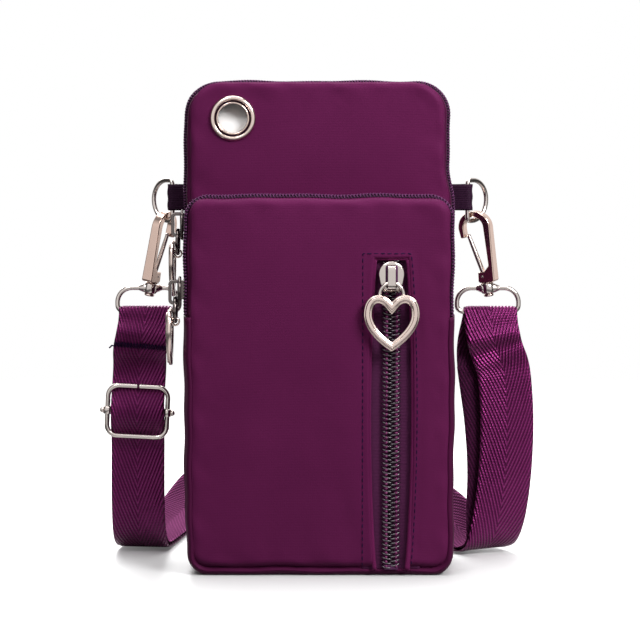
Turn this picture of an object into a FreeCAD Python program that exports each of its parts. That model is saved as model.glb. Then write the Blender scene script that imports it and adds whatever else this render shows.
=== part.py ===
import FreeCAD, Part
import math
import os

Vec = FreeCAD.Vector

# Upright nylon phone pouch with a shoulder strap, in millimetres.
# +X is to the right in the front view, +Y goes to the back, +Z is up.
# The origin is the middle of the base, on the surface that the pouch stands on.

# Pouch body
POUCH_WIDTH = 100.0
POUCH_HEIGHT = 184.0
FRONT_DROP = 41.0
TOP_RADIUS = 12.0
FRONT_TOP_RADIUS = 8.0
BASE_RADIUS = 8.0
WALL = 1.6
LINING = 0.5
FRONT_ROOM = 17.6
MAIN_ROOM = 15.6

# Zips
TAPE = 0.6
TAPE_WIDTH = 4.5
BEAD = 1.5
CHAIN_GAP = 1.2
FRONT_ZIP_INSET = 2.4
FRONT_ZIP_LEG = 45.0
MAIN_ZIP_LEG = 66.0
FRONT_SLIDER_RISE = 3.5
MAIN_SLIDER_RISE = 7.1

# Pocket zip on the front panel
POCKET_FROM_SIDE = 23.4
POCKET_WINDOW = 12.0
POCKET_LOW = 3.5
POCKET_FROM_TOP = 23.3
POCKET_SLIDER_DROP = 12.1
POCKET_STOP = 2.2
TAPE_LAP = 5.0
POCKET_BAG_LEFT_GAP = 14.0
POCKET_BAG_RIGHT_GAP = 7.0
POCKET_BAG_RISE = 11.3
POCKET_BAG_ROOM = 5.0

# Zip slider
SLIDER_WIDTH = 9.6
SLIDER_FOOT = 6.6
SLIDER_LENGTH = 11.7
SLIDER_SHOULDER = 6.0
SLIDER_INNER_WIDTH = 4.0
SLIDER_PLATE = 1.2
SLIDER_WEB = 0.6
SLIDER_PLAY = 0.3
BRIDGE_WIDTH = 3.0
BRIDGE_LOW = 1.1
BRIDGE_HIGH = 10.4
BRIDGE_WALL = 1.2

# Ring and heart-shaped pull
RING_RADIUS = 4.45
RING_WIRE = 0.75
RING_PLAY = 0.3
HEART_WIDTH = 20.8
HEART_HEIGHT = 20.7
HEART_LOBE_SHARE = 0.28365
HEART_BAND = 3.2
HEART_PLATE = 2.0
HEART_HANG = 4.4
LUG_WIDTH = 2.8
LUG_WALL = 0.6
LUG_PLAY = 0.35
PULL_GAP = 0.3
SLIDER_WALL_GAP = 0.4

# Eyelet
EYELET_FROM_SIDE = 17.2
EYELET_FROM_TOP = 12.6
EYELET_RADIUS = 8.5
EYELET_BORE = 5.9
EYELET_TUBE = 0.7
EYELET_RISE = 1.4
WASHER = 0.6
WASHER_RADIUS = 8.2

# Tab and D-ring
TAB_REACH = 6.7
TAB_LOW = 135.4
TAB_HEIGHT = 10.0
TAB_PLY = 0.8
TAB_PLAY = 0.3
D_WIRE = 0.9
D_CENTRE_Z = 139.0
D_HALF_HEIGHT = 7.8
D_CORNER = 1.6
D_STRAIGHT = 1.4
D_YAW = 45.0

# Snap hook, in its own frame: u to the nose, w across, v up the swivel axis
HOOK_SPINE = 4.8
HOOK_NOSE = 8.0
HOOK_BAND = 2.2
HOOK_DEPTH = 3.4
HOOK_LOW = 2.3
HOOK_CROWN = 30.3
NOSE_DROP = 3.6
BLOCK_TOP = 6.6
BLOCK_REACH = 2.2
HOOK_SEAT = 3.4
HOOK_HANG = 0.6
GATE_PIVOT_U = 0.6
GATE_PIVOT_V = 4.8
GATE_ROOT = 1.5
GATE_WIDTH = 1.6
GATE_LAP = 1.2
GATE_PLAY = 0.15
PIN_RADIUS = 0.6
PIN_PLAY = 0.05
SPRING_LEAF = 0.3
SPRING_LENGTH = 5.5
POST_RADIUS = 1.25
POST_PLAY = 0.05
COLLAR_RADIUS = 2.6
COLLAR_HALF = 2.0
COLLAR_REACH = 4.2
COLLAR_SHOULDER = 1.9
POST_HEAD = 2.0
POST_HEAD_THICK = 1.0
POST_HEAD_GAP = 0.2
LEFT_LEAN = 11.5
RIGHT_LEAN = 9.0
LEFT_YAW = 62.0
RIGHT_YAW = 30.0

# Strap loop below each hook
LOOP_WIRE = 0.95
LOOP_HALF_WIDTH = 11.9
LOOP_HEIGHT = 9.2
LOOP_CORNER = 2.6

# Length buckle on the left run of the strap
BUCKLE_X = -70.7
BUCKLE_Y = 16.5
BUCKLE_Z = 57.5
BUCKLE_WIRE = 0.95
BUCKLE_HALF_WIDTH = 11.6
BUCKLE_HALF_HEIGHT = 9.8
BUCKLE_CORNER = 3.0
BUCKLE_TILT = 3.0
BAR_RADIUS = 1.0
BAR_COLLAR = 1.6
BAR_COLLAR_HALF = 1.5
BAR_PLAY = 0.05
KNOB_RADIUS = 1.2

# Webbing strap
STRAP_WIDTH = 20.0
STRAP_PLY = 1.2
PLY_GAP = 0.5

# Routes of the strap's two plies: centre x, y, z, then the way from the outer edge to the bag-side edge
OUTER_ROUTE = [
    (-69.8, 19.9, 75.6, 1, 0, 0),
    (-70.2, 20.2, 69.4, 1, 0, 0),
    (-70.5, 14.5, 60.8, 1, 0, 0),
    (-70.7, 14.5, 54.2, 1, 0, 0),
    (-70.8, 20.2, 45.8, 1, 0, 0),
    (-70.9, 19.9, 36, 1, 0, 0),
    (-71, 19.8, 20, 1, 0, 0),
    (-70.8, 22.5, 7.5, 1, 0, 0),
    (-69.9, 30, 1.5, 1, -0.1, 0),
    (-68.2, 40, 0.7, 0.98, -0.2, 0),
    (-64.6, 58, 0.8, 0.98, -0.2, 0),
    (-60.4, 78, 1.5, 0.97, -0.2, -0.08),
    (-56.2, 98, 3.9, 0.93, -0.2, -0.31),
    (-51, 120, 8.2, 0.63, -0.25, -0.74),
    (-43, 143, 10.8, 0, 0, -1),
    (-29, 164, 10.8, 0, 0, -1),
    (-7, 176, 10.8, 0, 0, -1),
    (17, 173, 10.8, 0, 0, -1),
    (36, 157, 10.8, 0, 0, -1),
    (46, 133, 10.8, 0, 0, -1),
    (49, 107, 10.8, 0, 0, -1),
    (49.5, 83, 10.8, 0, 0, -1),
    (50.5, 62, 10.6, -0.15, -0.1, -1),
    (53.5, 46, 7.9, -0.6, -0.35, -0.7),
    (58.5, 34, 3.8, -0.85, -0.42, -0.3),
    (63.5, 26, 1, -0.877, -0.48, 0),
    (67.5, 20.6, 5.5, -0.95, -0.3, 0),
    (70.3, 19.2, 17, -1, -0.1, 0),
    (72.2, 18.8, 34, -1, 0, 0),
    (72.8, 18.5, 54, -1, 0, 0),
    (71.6, 18.3, 70, -1, 0, 0),
    (70.6, 18.2, 75.6, -1, 0, 0),
]
# The inner ply follows the outer one between these two of its points, counted from 0
FOLLOW_FROM = 6
FOLLOW_TO = 26
INNER_START = [
    (-70.7, 19.2, 55.6, 1, 0, 0),
    (-70.8, 21.9, 46, 1, 0, 0),
    (-70.9, 21.5, 36, 1, 0, 0),
]
INNER_END = [
    (67.2, 21.9, 17, -1, -0.1, 0),
    (68, 21.5, 34, -1, 0, 0),
    (66.5, 21.4, 54, -1, 0, 0),
    (64.4, 21.3, 68, -1, 0, 0),
    (63.4, 21.2, 75.6, -1, 0, 0),
]

# Places that follow from the sizes above
SIDE_X = POUCH_WIDTH / 2
FRONT_HEIGHT = POUCH_HEIGHT - FRONT_DROP
FRONT_ZIP_END = FRONT_HEIGHT - FRONT_ZIP_LEG
MAIN_ZIP_END = POUCH_HEIGHT - MAIN_ZIP_LEG
FRONT_SLIDER_LOW = FRONT_ZIP_END + FRONT_SLIDER_RISE
MAIN_SLIDER_LOW = MAIN_ZIP_END + MAIN_SLIDER_RISE
POCKET_X = SIDE_X - POCKET_FROM_SIDE
POCKET_HIGH = FRONT_HEIGHT - POCKET_FROM_TOP
POCKET_SLIDER_LOW = POCKET_HIGH - POCKET_SLIDER_DROP
POCKET_BAG_LEFT = POCKET_BAG_LEFT_GAP - SIDE_X
POCKET_BAG_RIGHT = SIDE_X - POCKET_BAG_RIGHT_GAP
POCKET_BAG_TOP = POCKET_HIGH + POCKET_BAG_RISE
EYELET_X = EYELET_FROM_SIDE - SIDE_X
EYELET_Z = POUCH_HEIGHT - EYELET_FROM_TOP
FRONT_FACE = -(3 * WALL + FRONT_ROOM + MAIN_ROOM) / 2
FRONT_BACK = FRONT_FACE + WALL
MIDDLE_FRONT = FRONT_BACK + FRONT_ROOM
MIDDLE_BACK = MIDDLE_FRONT + WALL
REAR_FRONT = MIDDLE_BACK + MAIN_ROOM
REAR_FACE = REAR_FRONT + WALL
FRONT_ZIP_Y = FRONT_BACK + FRONT_ZIP_INSET
HEART_LOBE = HEART_WIDTH * HEART_LOBE_SHARE
MAIN_ZIP_WALL_Y = MIDDLE_BACK + SLIDER_INNER_WIDTH / 2 + SLIDER_WALL_GAP
MAIN_ZIP_Y = max(FRONT_ZIP_Y + HEART_WIDTH + PULL_GAP, MAIN_ZIP_WALL_Y)
TAB_Y = REAR_FACE - WALL / 4
TAB_FOLD = D_WIRE + TAB_PLAY + TAB_PLY
BAR_X = SIDE_X + TAB_REACH
D_BOTTOM = D_CENTRE_Z - D_HALF_HEIGHT
EYELET_TUBE_RADIUS = EYELET_BORE + EYELET_TUBE

# Slider, ring and heart, measured outwards from the face of the zip tape
PLATE_IN = BEAD + SLIDER_PLAY
PLATE_OUT = PLATE_IN + SLIDER_PLATE
RING_OUT = PLATE_OUT + RING_PLAY + RING_WIRE
RING_TOP = BRIDGE_LOW + BRIDGE_WALL + RING_WIRE + 2 * RING_PLAY
RING_LOW = RING_TOP - 2 * RING_RADIUS
LUG_BORE = RING_WIRE + LUG_PLAY
HEART_IN = RING_OUT + LUG_BORE
BRIDGE_ROOF = RING_OUT + RING_WIRE + 2 * RING_PLAY

# Hook bow: an outer and an inner half round
BOW_RADIUS = (HOOK_SPINE + HOOK_NOSE) / 2
BOW_U = HOOK_NOSE - BOW_RADIUS
BOW_V = HOOK_CROWN - BOW_RADIUS
BOW_INNER = BOW_RADIUS - HOOK_BAND
BOW_SEAT_V = BOW_V + BOW_INNER
GATE_END_U = BOW_U + BOW_INNER - GATE_PLAY - GATE_WIDTH / 2
GATE_END_V = BOW_V - NOSE_DROP + GATE_LAP


def block(x0, x1, y0, y1, z0, z1):
    """Box between two corners."""
    return Part.makeBox(x1 - x0, y1 - y0, z1 - z0, Vec(x0, y0, z0))


def face_of(points, arcs):
    """Flat face through points; arcs maps the number of a start point to a point on the arc."""
    edges = []
    for number, start in enumerate(points):
        end = points[(number + 1) % len(points)]
        if number in arcs:
            edges.append(Part.Arc(start, arcs[number], end).toShape())
        else:
            edges.append(Part.LineSegment(start, end).toShape())
    return Part.Face(Part.Wire(edges))


def outline(height, top_radius, inset):
    """Upright face of the pouch's outline at y = 0, drawn in by inset."""
    side = SIDE_X - inset
    low = inset
    high = height - inset
    top = top_radius - inset
    base = BASE_RADIUS - inset
    points = [
        Vec(-side + base, 0, low),
        Vec(side - base, 0, low),
        Vec(side, 0, low + base),
        Vec(side, 0, high - top),
        Vec(side - top, 0, high),
        Vec(-side + top, 0, high),
        Vec(-side, 0, high - top),
        Vec(-side, 0, low + base),
    ]
    near = 1 - math.sqrt(0.5)
    arcs = {
        1: Vec(side - base * near, 0, low + base * near),
        3: Vec(side - top * near, 0, high - top * near),
        5: Vec(-side + top * near, 0, high - top * near),
        7: Vec(-side + base * near, 0, low + base * near),
    }
    return face_of(points, arcs)


def slab(face, y0, y1):
    """A face at y = 0 carried from y0 to y1."""
    solid = face.extrude(Vec(0, y1 - y0, 0))
    solid.translate(Vec(0, y0, 0))
    return solid


def band(height, top_radius, inset, thickness, y0, y1):
    """Closed strip that follows the outline, from inset to inset + thickness."""
    outer = slab(outline(height, top_radius, inset), y0, y1)
    inner = slab(outline(height, top_radius, inset + thickness), y0, y1)
    return outer.cut(inner)


def above(shape, z):
    """The part of a shape above a level."""
    reach = 2 * POUCH_HEIGHT
    return shape.cut(block(-reach, reach, -reach, reach, -reach, z))


def below(shape, z):
    """The part of a shape below a level."""
    reach = 2 * POUCH_HEIGHT
    return shape.cut(block(-reach, reach, -reach, reach, z, z + reach))


def rod(start, end, radius):
    """Round bar between two points."""
    return Part.makeCylinder(radius, (end - start).Length, start, end - start)


def bend(centre, axis, start, angle, radius):
    """Round wire on an arc: the section at start turned about an axis through centre."""
    along = axis.cross(start - centre)
    ring = Part.makeCircle(radius, start, along)
    return Part.Face(Part.Wire(ring)).revolve(centre, axis, angle)


def one_solid(shapes):
    """Shapes joined to one clean solid."""
    return shapes[0].multiFuse(shapes[1:]).removeSplitter()


def export(shape, node):
    """Write a node's solids to its own file."""
    if shape.ShapeType != "Solid" and len(shape.Solids) == 1:
        shape = shape.Solids[0]
    shape.exportStep("parts/" + node + ".step")


def panels():
    """The three upright panels: back, divider with the eyelet hole, front with the zip window."""
    main = outline(POUCH_HEIGHT, TOP_RADIUS, 0)
    front = outline(FRONT_HEIGHT, FRONT_TOP_RADIUS, 0)
    hole = Part.makeCylinder(EYELET_TUBE_RADIUS, WALL, Vec(EYELET_X, MIDDLE_FRONT, EYELET_Z), Vec(0, 1, 0))
    half = POCKET_WINDOW / 2
    window = block(POCKET_X - half, POCKET_X + half, FRONT_FACE, FRONT_BACK, POCKET_LOW, POCKET_HIGH)
    export(slab(main, REAR_FRONT, REAR_FACE), "back_panel")
    export(slab(main, MIDDLE_FRONT, MIDDLE_BACK).cut(hole), "middle_panel")
    export(slab(front, FRONT_FACE, FRONT_BACK).cut(window), "front_panel")


def compartment(name, height, radius, y0, y1, zip_y, zip_end):
    """One compartment's edge: a U gusset below and an arch of zip and cloth strip above its ends."""
    strip_y = zip_y + CHAIN_GAP / 2 + TAPE_WIDTH
    gusset = below(band(height, radius, 0, WALL, y0, y1), zip_end)
    strip = above(band(height, radius, 0, WALL, strip_y, y1), zip_end)
    front_tape = above(band(height, radius, 0, TAPE, y0, zip_y - CHAIN_GAP / 2), zip_end)
    rear_tape = above(band(height, radius, 0, TAPE, zip_y + CHAIN_GAP / 2, strip_y), zip_end)
    coils = []
    for edge in (zip_y - CHAIN_GAP / 2 - BEAD, zip_y + CHAIN_GAP / 2):
        coils.append(above(band(height, radius, -BEAD, BEAD, edge, edge + BEAD), zip_end))
    export(gusset, name + "_gusset")
    export(strip, name + "_top_strip")
    export(front_tape, name + "_zip_front_tape")
    export(rear_tape, name + "_zip_rear_tape")
    export(Part.makeCompound(coils), name + "_zip_coils")


def linings():
    """Thin lining sheets on the panels' inner faces, inside the gussets."""
    main = outline(POUCH_HEIGHT, TOP_RADIUS, WALL)
    front = outline(FRONT_HEIGHT, FRONT_TOP_RADIUS, WALL)
    hole = Part.makeCylinder(EYELET_TUBE_RADIUS, LINING, Vec(EYELET_X, MIDDLE_BACK, EYELET_Z), Vec(0, 1, 0))
    rear_sheet = slab(main, REAR_FRONT - LINING, REAR_FRONT)
    middle_sheet = slab(main, MIDDLE_BACK, MIDDLE_BACK + LINING).cut(hole)
    export(Part.makeCompound([rear_sheet, middle_sheet]), "main_lining")
    export(slab(front, MIDDLE_FRONT - LINING, MIDDLE_FRONT), "front_lining")


def pocket():
    """Front pocket: two zip tapes behind the window, their coils, the end stop and the pocket bag."""
    half = POCKET_WINDOW / 2
    gap = CHAIN_GAP / 2
    tape_top = POCKET_HIGH + TAPE_LAP
    face = FRONT_BACK
    left = block(POCKET_X - half - TAPE_LAP, POCKET_X - gap, face, face + TAPE, POCKET_LOW, tape_top)
    right = block(POCKET_X + gap, POCKET_X + half + TAPE_LAP, face, face + TAPE, POCKET_LOW, tape_top)
    coil_low = POCKET_LOW + POCKET_STOP
    coils = []
    for edge in (POCKET_X - gap - BEAD, POCKET_X + gap):
        coils.append(block(edge, edge + BEAD, face - BEAD, face, coil_low, POCKET_HIGH))
    reach = gap + BEAD
    stop = block(POCKET_X - reach, POCKET_X + reach, face - BEAD, face, POCKET_LOW, coil_low)
    bag_low = POCKET_LOW
    back = face + POCKET_BAG_ROOM
    bag = block(POCKET_BAG_LEFT, POCKET_BAG_RIGHT, face, back + TAPE, bag_low, POCKET_BAG_TOP)
    room = block(
        POCKET_BAG_LEFT + TAPE, POCKET_BAG_RIGHT - TAPE, face, back, bag_low + TAPE, POCKET_BAG_TOP - TAPE
    )
    foot = block(
        POCKET_X - half - TAPE_LAP, POCKET_X + half + TAPE_LAP, face, face + TAPE, bag_low, bag_low + TAPE
    )
    export(left, "pocket_zip_left_tape")
    export(right, "pocket_zip_right_tape")
    export(Part.makeCompound(coils), "pocket_zip_coils")
    export(stop, "pocket_zip_stop")
    export(bag.cut(room).cut(foot), "pocket_lining")


def slider_plate(y0, y1):
    """Shield-shaped plate of a zip slider between two depths, its foot at z = 0."""
    half = SLIDER_WIDTH / 2
    foot = SLIDER_FOOT / 2
    points = [
        Vec(-foot, 0, 0),
        Vec(foot, 0, 0),
        Vec(half, 0, SLIDER_SHOULDER),
        Vec(-half, 0, SLIDER_SHOULDER),
    ]
    return slab(face_of(points, {2: Vec(0, 0, SLIDER_LENGTH)}), y0, y1)


def slider():
    """Zip slider facing -Y: plate, bridge for the ring, web between the coils and inner plate."""
    outer = slider_plate(-PLATE_OUT, -PLATE_IN)
    inside = TAPE + SLIDER_PLAY
    wide = SLIDER_INNER_WIDTH / 2
    inner = block(-wide, wide, inside, inside + SLIDER_PLATE, 0, SLIDER_LENGTH)
    web_low = SLIDER_SHOULDER / 2
    thin = SLIDER_WEB / 2
    web = block(-thin, thin, -PLATE_IN, inside, web_low, SLIDER_LENGTH - web_low / 2)
    half = BRIDGE_WIDTH / 2
    arch = block(-half, half, -BRIDGE_ROOF - BRIDGE_WALL, -PLATE_OUT, BRIDGE_LOW, BRIDGE_HIGH)
    eye = block(-half, half, -BRIDGE_ROOF, -PLATE_OUT, BRIDGE_LOW + BRIDGE_WALL, BRIDGE_HIGH - BRIDGE_WALL)
    return one_solid([outer, inner, web, arch.cut(eye)])


def pull_ring():
    """Round wire ring that hangs in the slider's bridge."""
    return Part.makeTorus(RING_RADIUS, RING_WIRE, Vec(0, -RING_OUT, RING_TOP - RING_RADIUS), Vec(0, 1, 0))


def heart_face(shrink):
    """Heart outline drawn in by shrink: two lobes and straight flanks that touch them."""
    lobe = HEART_LOBE - shrink
    lobe_x = HEART_WIDTH / 2 - HEART_LOBE
    lobe_z = RING_LOW + HEART_HANG - HEART_LOBE
    drop = HEART_HEIGHT - HEART_LOBE
    flank = math.atan2(lobe_x, drop) + math.asin(HEART_LOBE / math.hypot(lobe_x, drop))
    tip = Vec(0, 0, lobe_z - drop + shrink / math.sin(flank))
    touch = Vec(lobe_x + lobe * math.cos(flank), 0, lobe_z - lobe * math.sin(flank))
    crown = Vec(lobe_x, 0, lobe_z + lobe)
    if lobe > lobe_x:
        notch = Vec(0, 0, lobe_z + math.sqrt(lobe * lobe - lobe_x * lobe_x))
        points = [tip, touch, notch, Vec(-touch.x, 0, touch.z)]
        return face_of(points, {1: crown, 2: Vec(-crown.x, 0, crown.z)})
    inner_drop = math.sqrt(HEART_LOBE * HEART_LOBE - lobe_x * lobe_x)
    slope = math.atan2(lobe_x, inner_drop)
    notch = Vec(0, 0, lobe_z + inner_drop - shrink / math.sin(slope))
    apart = Vec(lobe_x, 0, lobe_z) - notch
    turn = math.atan2(apart.x, apart.z) - math.acos(lobe / apart.Length)
    inner = Vec(lobe_x - lobe * math.sin(turn), 0, lobe_z - lobe * math.cos(turn))
    points = [tip, touch, inner, notch, Vec(-inner.x, 0, inner.z), Vec(-touch.x, 0, touch.z)]
    return face_of(points, {1: crown, 4: Vec(-crown.x, 0, crown.z)})


def heart():
    """Open heart-shaped pull with a bored lug behind its notch."""
    front = -HEART_IN - HEART_PLATE
    plate = slab(heart_face(0), front, -HEART_IN).cut(slab(heart_face(HEART_BAND), front, -HEART_IN))
    start = Vec(-LUG_WIDTH / 2, -RING_OUT, RING_LOW)
    end = Vec(LUG_WIDTH / 2, -RING_OUT, RING_LOW)
    lug = rod(start, end, LUG_BORE + LUG_WALL).cut(rod(start, end, LUG_BORE))
    return one_solid([plate, lug])


def pulls():
    """Slider, ring and heart on the pocket zip and on the left ends of the two side zips."""
    left_side = FreeCAD.Rotation(Vec(0, 0, 1), -90)
    places = {
        "pocket": FreeCAD.Placement(Vec(POCKET_X, FRONT_BACK, POCKET_SLIDER_LOW), FreeCAD.Rotation()),
        "front": FreeCAD.Placement(Vec(-SIDE_X, FRONT_ZIP_Y, FRONT_SLIDER_LOW), left_side),
        "main": FreeCAD.Placement(Vec(-SIDE_X, MAIN_ZIP_Y, MAIN_SLIDER_LOW), left_side),
    }
    for name, place in places.items():
        for kind, make in (("slider", slider), ("ring", pull_ring), ("heart", heart)):
            piece = make()
            piece.Placement = place
            export(piece, name + "_" + kind)


def eyelet():
    """Metal eyelet: a domed flange and tube from the front, and a washer behind the lining."""
    tube_end = MIDDLE_BACK + LINING + WASHER
    axis = Vec(EYELET_X, 0, EYELET_Z)
    crest = (EYELET_BORE + EYELET_RADIUS) / 2
    points = [
        Vec(EYELET_BORE, MIDDLE_FRONT, 0),
        Vec(EYELET_RADIUS, MIDDLE_FRONT, 0),
    ]
    dome = face_of(points, {1: Vec(crest, MIDDLE_FRONT - EYELET_RISE, 0)})
    flange = dome.revolve(Vec(0, 0, 0), Vec(0, 1, 0), 360)
    start = Vec(0, MIDDLE_FRONT, 0)
    end = Vec(0, tube_end, 0)
    tube = rod(start, end, EYELET_TUBE_RADIUS).cut(rod(start, end, EYELET_BORE))
    front = one_solid([flange, tube])
    seat = Vec(0, MIDDLE_BACK + LINING, 0)
    washer = rod(seat, end, WASHER_RADIUS).cut(rod(seat, end, EYELET_TUBE_RADIUS))
    front.translate(axis)
    washer.translate(axis)
    export(front, "eyelet")
    export(washer, "eyelet_washer")


def tab(side):
    """Ribbon tab: it leaves the back seam, folds round the D-ring's bar and returns."""
    bar = Vec(side * BAR_X, TAB_Y, TAB_LOW)
    root = side * SIDE_X
    half = WALL / 2
    middle = REAR_FACE - half
    points = [
        Vec(root, middle - half, TAB_LOW),
        Vec(bar.x, TAB_Y - TAB_FOLD, TAB_LOW),
        Vec(bar.x, TAB_Y + TAB_FOLD, TAB_LOW),
        Vec(root, middle + half, TAB_LOW),
    ]
    fold = face_of(points, {1: Vec(bar.x + side * TAB_FOLD, TAB_Y, TAB_LOW)})
    solid = fold.extrude(Vec(0, 0, TAB_HEIGHT))
    return solid.cut(Part.makeCylinder(D_WIRE + TAB_PLAY, TAB_HEIGHT, bar, Vec(0, 0, 1)))


def d_ring(side):
    """D-ring: a straight bar in the tab, two small bends, short runs and a round bow."""
    high = D_HALF_HEIGHT
    bar = high - D_CORNER
    start = D_CORNER + D_STRAIGHT
    toward = Vec(0, -1, 0)
    pieces = [
        rod(Vec(0, 0, -bar), Vec(0, 0, bar), D_WIRE),
        bend(Vec(D_CORNER, 0, bar), toward, Vec(0, 0, bar), -90, D_WIRE),
        rod(Vec(D_CORNER, 0, high), Vec(start, 0, high), D_WIRE),
        bend(Vec(start, 0, 0), toward, Vec(start, 0, high), -180, D_WIRE),
        rod(Vec(start, 0, -high), Vec(D_CORNER, 0, -high), D_WIRE),
        bend(Vec(D_CORNER, 0, -bar), toward, Vec(D_CORNER, 0, -high), -90, D_WIRE),
    ]
    ring = one_solid(pieces)
    turn = D_YAW if side > 0 else 180 - D_YAW
    ring.Placement = FreeCAD.Placement(
        Vec(side * BAR_X, TAB_Y, D_CENTRE_Z), FreeCAD.Rotation(Vec(0, 0, 1), turn)
    )
    return ring


def hook_place(side):
    """Where a hook's own frame stands: it hangs by its bow on the D-ring's lower run, leaning out."""
    lean = RIGHT_LEAN if side > 0 else LEFT_LEAN
    yaw = 180 - RIGHT_YAW if side > 0 else LEFT_YAW
    turn = FreeCAD.Rotation(Vec(0, 1, 0), -side * lean) * FreeCAD.Rotation(Vec(0, 0, 1), yaw)
    reach = math.radians(D_YAW)
    seat = Vec(
        side * (BAR_X + HOOK_SEAT * math.cos(reach)),
        TAB_Y + HOOK_SEAT * math.sin(reach),
        D_BOTTOM + D_WIRE + HOOK_HANG,
    )
    return FreeCAD.Placement(seat - turn.multVec(Vec(BOW_U, 0, BOW_SEAT_V)), turn)


def flat_hook(points, arcs, depth):
    """A face in the hook's u and v plane, as thick as depth across it."""
    return slab(face_of(points, arcs), -depth / 2, depth / 2)


def gate_pin_place(radius, length):
    """Round piece on the gate's pivot, across the hook."""
    start = Vec(GATE_PIVOT_U, -length / 2, GATE_PIVOT_V)
    return Part.makeCylinder(radius, length, start, Vec(0, 1, 0))


def hook():
    """Snap hook body: block, spine and bow with its nose, and the swivel post below."""
    inner_left = BOW_U - BOW_INNER
    inner_right = BOW_U + BOW_INNER
    nose = BOW_V - NOSE_DROP
    points = [
        Vec(-HOOK_SPINE, 0, HOOK_LOW),
        Vec(-HOOK_SPINE, 0, BOW_V),
        Vec(HOOK_NOSE, 0, BOW_V),
        Vec(HOOK_NOSE - HOOK_BAND / 4, 0, nose),
        Vec(inner_right, 0, nose),
        Vec(inner_right, 0, BOW_V),
        Vec(inner_left, 0, BOW_V),
        Vec(inner_left, 0, BLOCK_TOP + HOOK_BAND),
        Vec(inner_left + HOOK_BAND, 0, BLOCK_TOP),
        Vec(BLOCK_REACH, 0, BLOCK_TOP),
        Vec(BLOCK_REACH + GATE_WIDTH / 4, 0, HOOK_LOW),
    ]
    arcs = {1: Vec(BOW_U, 0, HOOK_CROWN), 5: Vec(BOW_U, 0, BOW_SEAT_V)}
    body = flat_hook(points, arcs, HOOK_DEPTH)
    slot_half = GATE_WIDTH / 2 + GATE_PLAY
    slot_low = GATE_PIVOT_V - GATE_ROOT - GATE_PLAY
    slot = block(inner_left, HOOK_NOSE, -slot_half, slot_half, slot_low, BLOCK_TOP + HOOK_BAND)
    head_top = -COLLAR_HALF - POST_HEAD_GAP
    post = rod(Vec(0, 0, HOOK_LOW), Vec(0, 0, head_top), POST_RADIUS)
    head = rod(Vec(0, 0, head_top), Vec(0, 0, head_top - POST_HEAD_THICK), POST_HEAD)
    return one_solid([body.cut(slot).cut(gate_pin_place(PIN_RADIUS, HOOK_DEPTH)), post, head])


def gate():
    """Sprung gate: a round root on the pin and a flat arm up to the inside of the nose."""
    along = Vec(GATE_END_U - GATE_PIVOT_U, 0, GATE_END_V - GATE_PIVOT_V)
    across = Vec(along.z, 0, -along.x).normalize() * (GATE_WIDTH / 2)
    pivot = Vec(GATE_PIVOT_U, 0, GATE_PIVOT_V)
    end = pivot + along
    arm = flat_hook([pivot - across, pivot + across, end + across, end - across], {}, GATE_WIDTH)
    root = gate_pin_place(GATE_ROOT, GATE_WIDTH)
    bore = gate_pin_place(PIN_RADIUS + PIN_PLAY, GATE_WIDTH)
    return one_solid([arm, root]).cut(bore)


def gate_spring():
    """Leaf spring in the block's slot, on the spine."""
    low = GATE_PIVOT_V - GATE_ROOT - GATE_PLAY
    left = BOW_U - BOW_INNER
    half = GATE_WIDTH / 2
    return block(left, left + SPRING_LEAF, -half, half, low, low + SPRING_LENGTH)


def wire_frame(half_width, half_height, corner, wire):
    """Round wire bent to an upright rectangle with round corners, about the origin."""
    wide = half_width - corner
    high = half_height - corner
    toward = Vec(0, 1, 0)
    corners = [(wide, high), (wide, -high), (-wide, -high), (-wide, high)]
    pieces = []
    for number, (x, z) in enumerate(corners):
        turn = FreeCAD.Rotation(toward, 90 * number)
        next_x, next_z = corners[(number + 1) % 4]
        reach = turn.multVec(Vec(corner, 0, 0))
        start = Vec(x, 0, z) + turn.multVec(Vec(0, 0, corner))
        pieces.append(bend(Vec(x, 0, z), toward, start, 90, wire))
        pieces.append(rod(Vec(x, 0, z) + reach, Vec(next_x, 0, next_z) + reach, wire))
    return one_solid(pieces)


def loop(side):
    """Long wire loop for the webbing, with a bored swivel collar on its upper run."""
    ring = wire_frame(LOOP_HALF_WIDTH, LOOP_HEIGHT / 2, LOOP_CORNER, LOOP_WIRE)
    ring.translate(Vec(0, 0, -LOOP_HEIGHT / 2))
    pieces = [ring]
    for way in (-1, 1):
        cone = Part.makeCone(COLLAR_SHOULDER, LOOP_WIRE, COLLAR_REACH, Vec(0, 0, 0), Vec(way, 0, 0))
        pieces.append(cone)
    place = hook_place(side)
    lean = place.Rotation.multVec(Vec(0, 0, 1))
    collar = rod(lean * -COLLAR_HALF, lean * COLLAR_HALF, COLLAR_RADIUS)
    bore = rod(lean * (-2 * COLLAR_RADIUS), lean * (2 * COLLAR_RADIUS), POST_RADIUS + POST_PLAY)
    solid = one_solid(pieces + [collar]).cut(bore)
    solid.translate(place.Base)
    return solid


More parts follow.
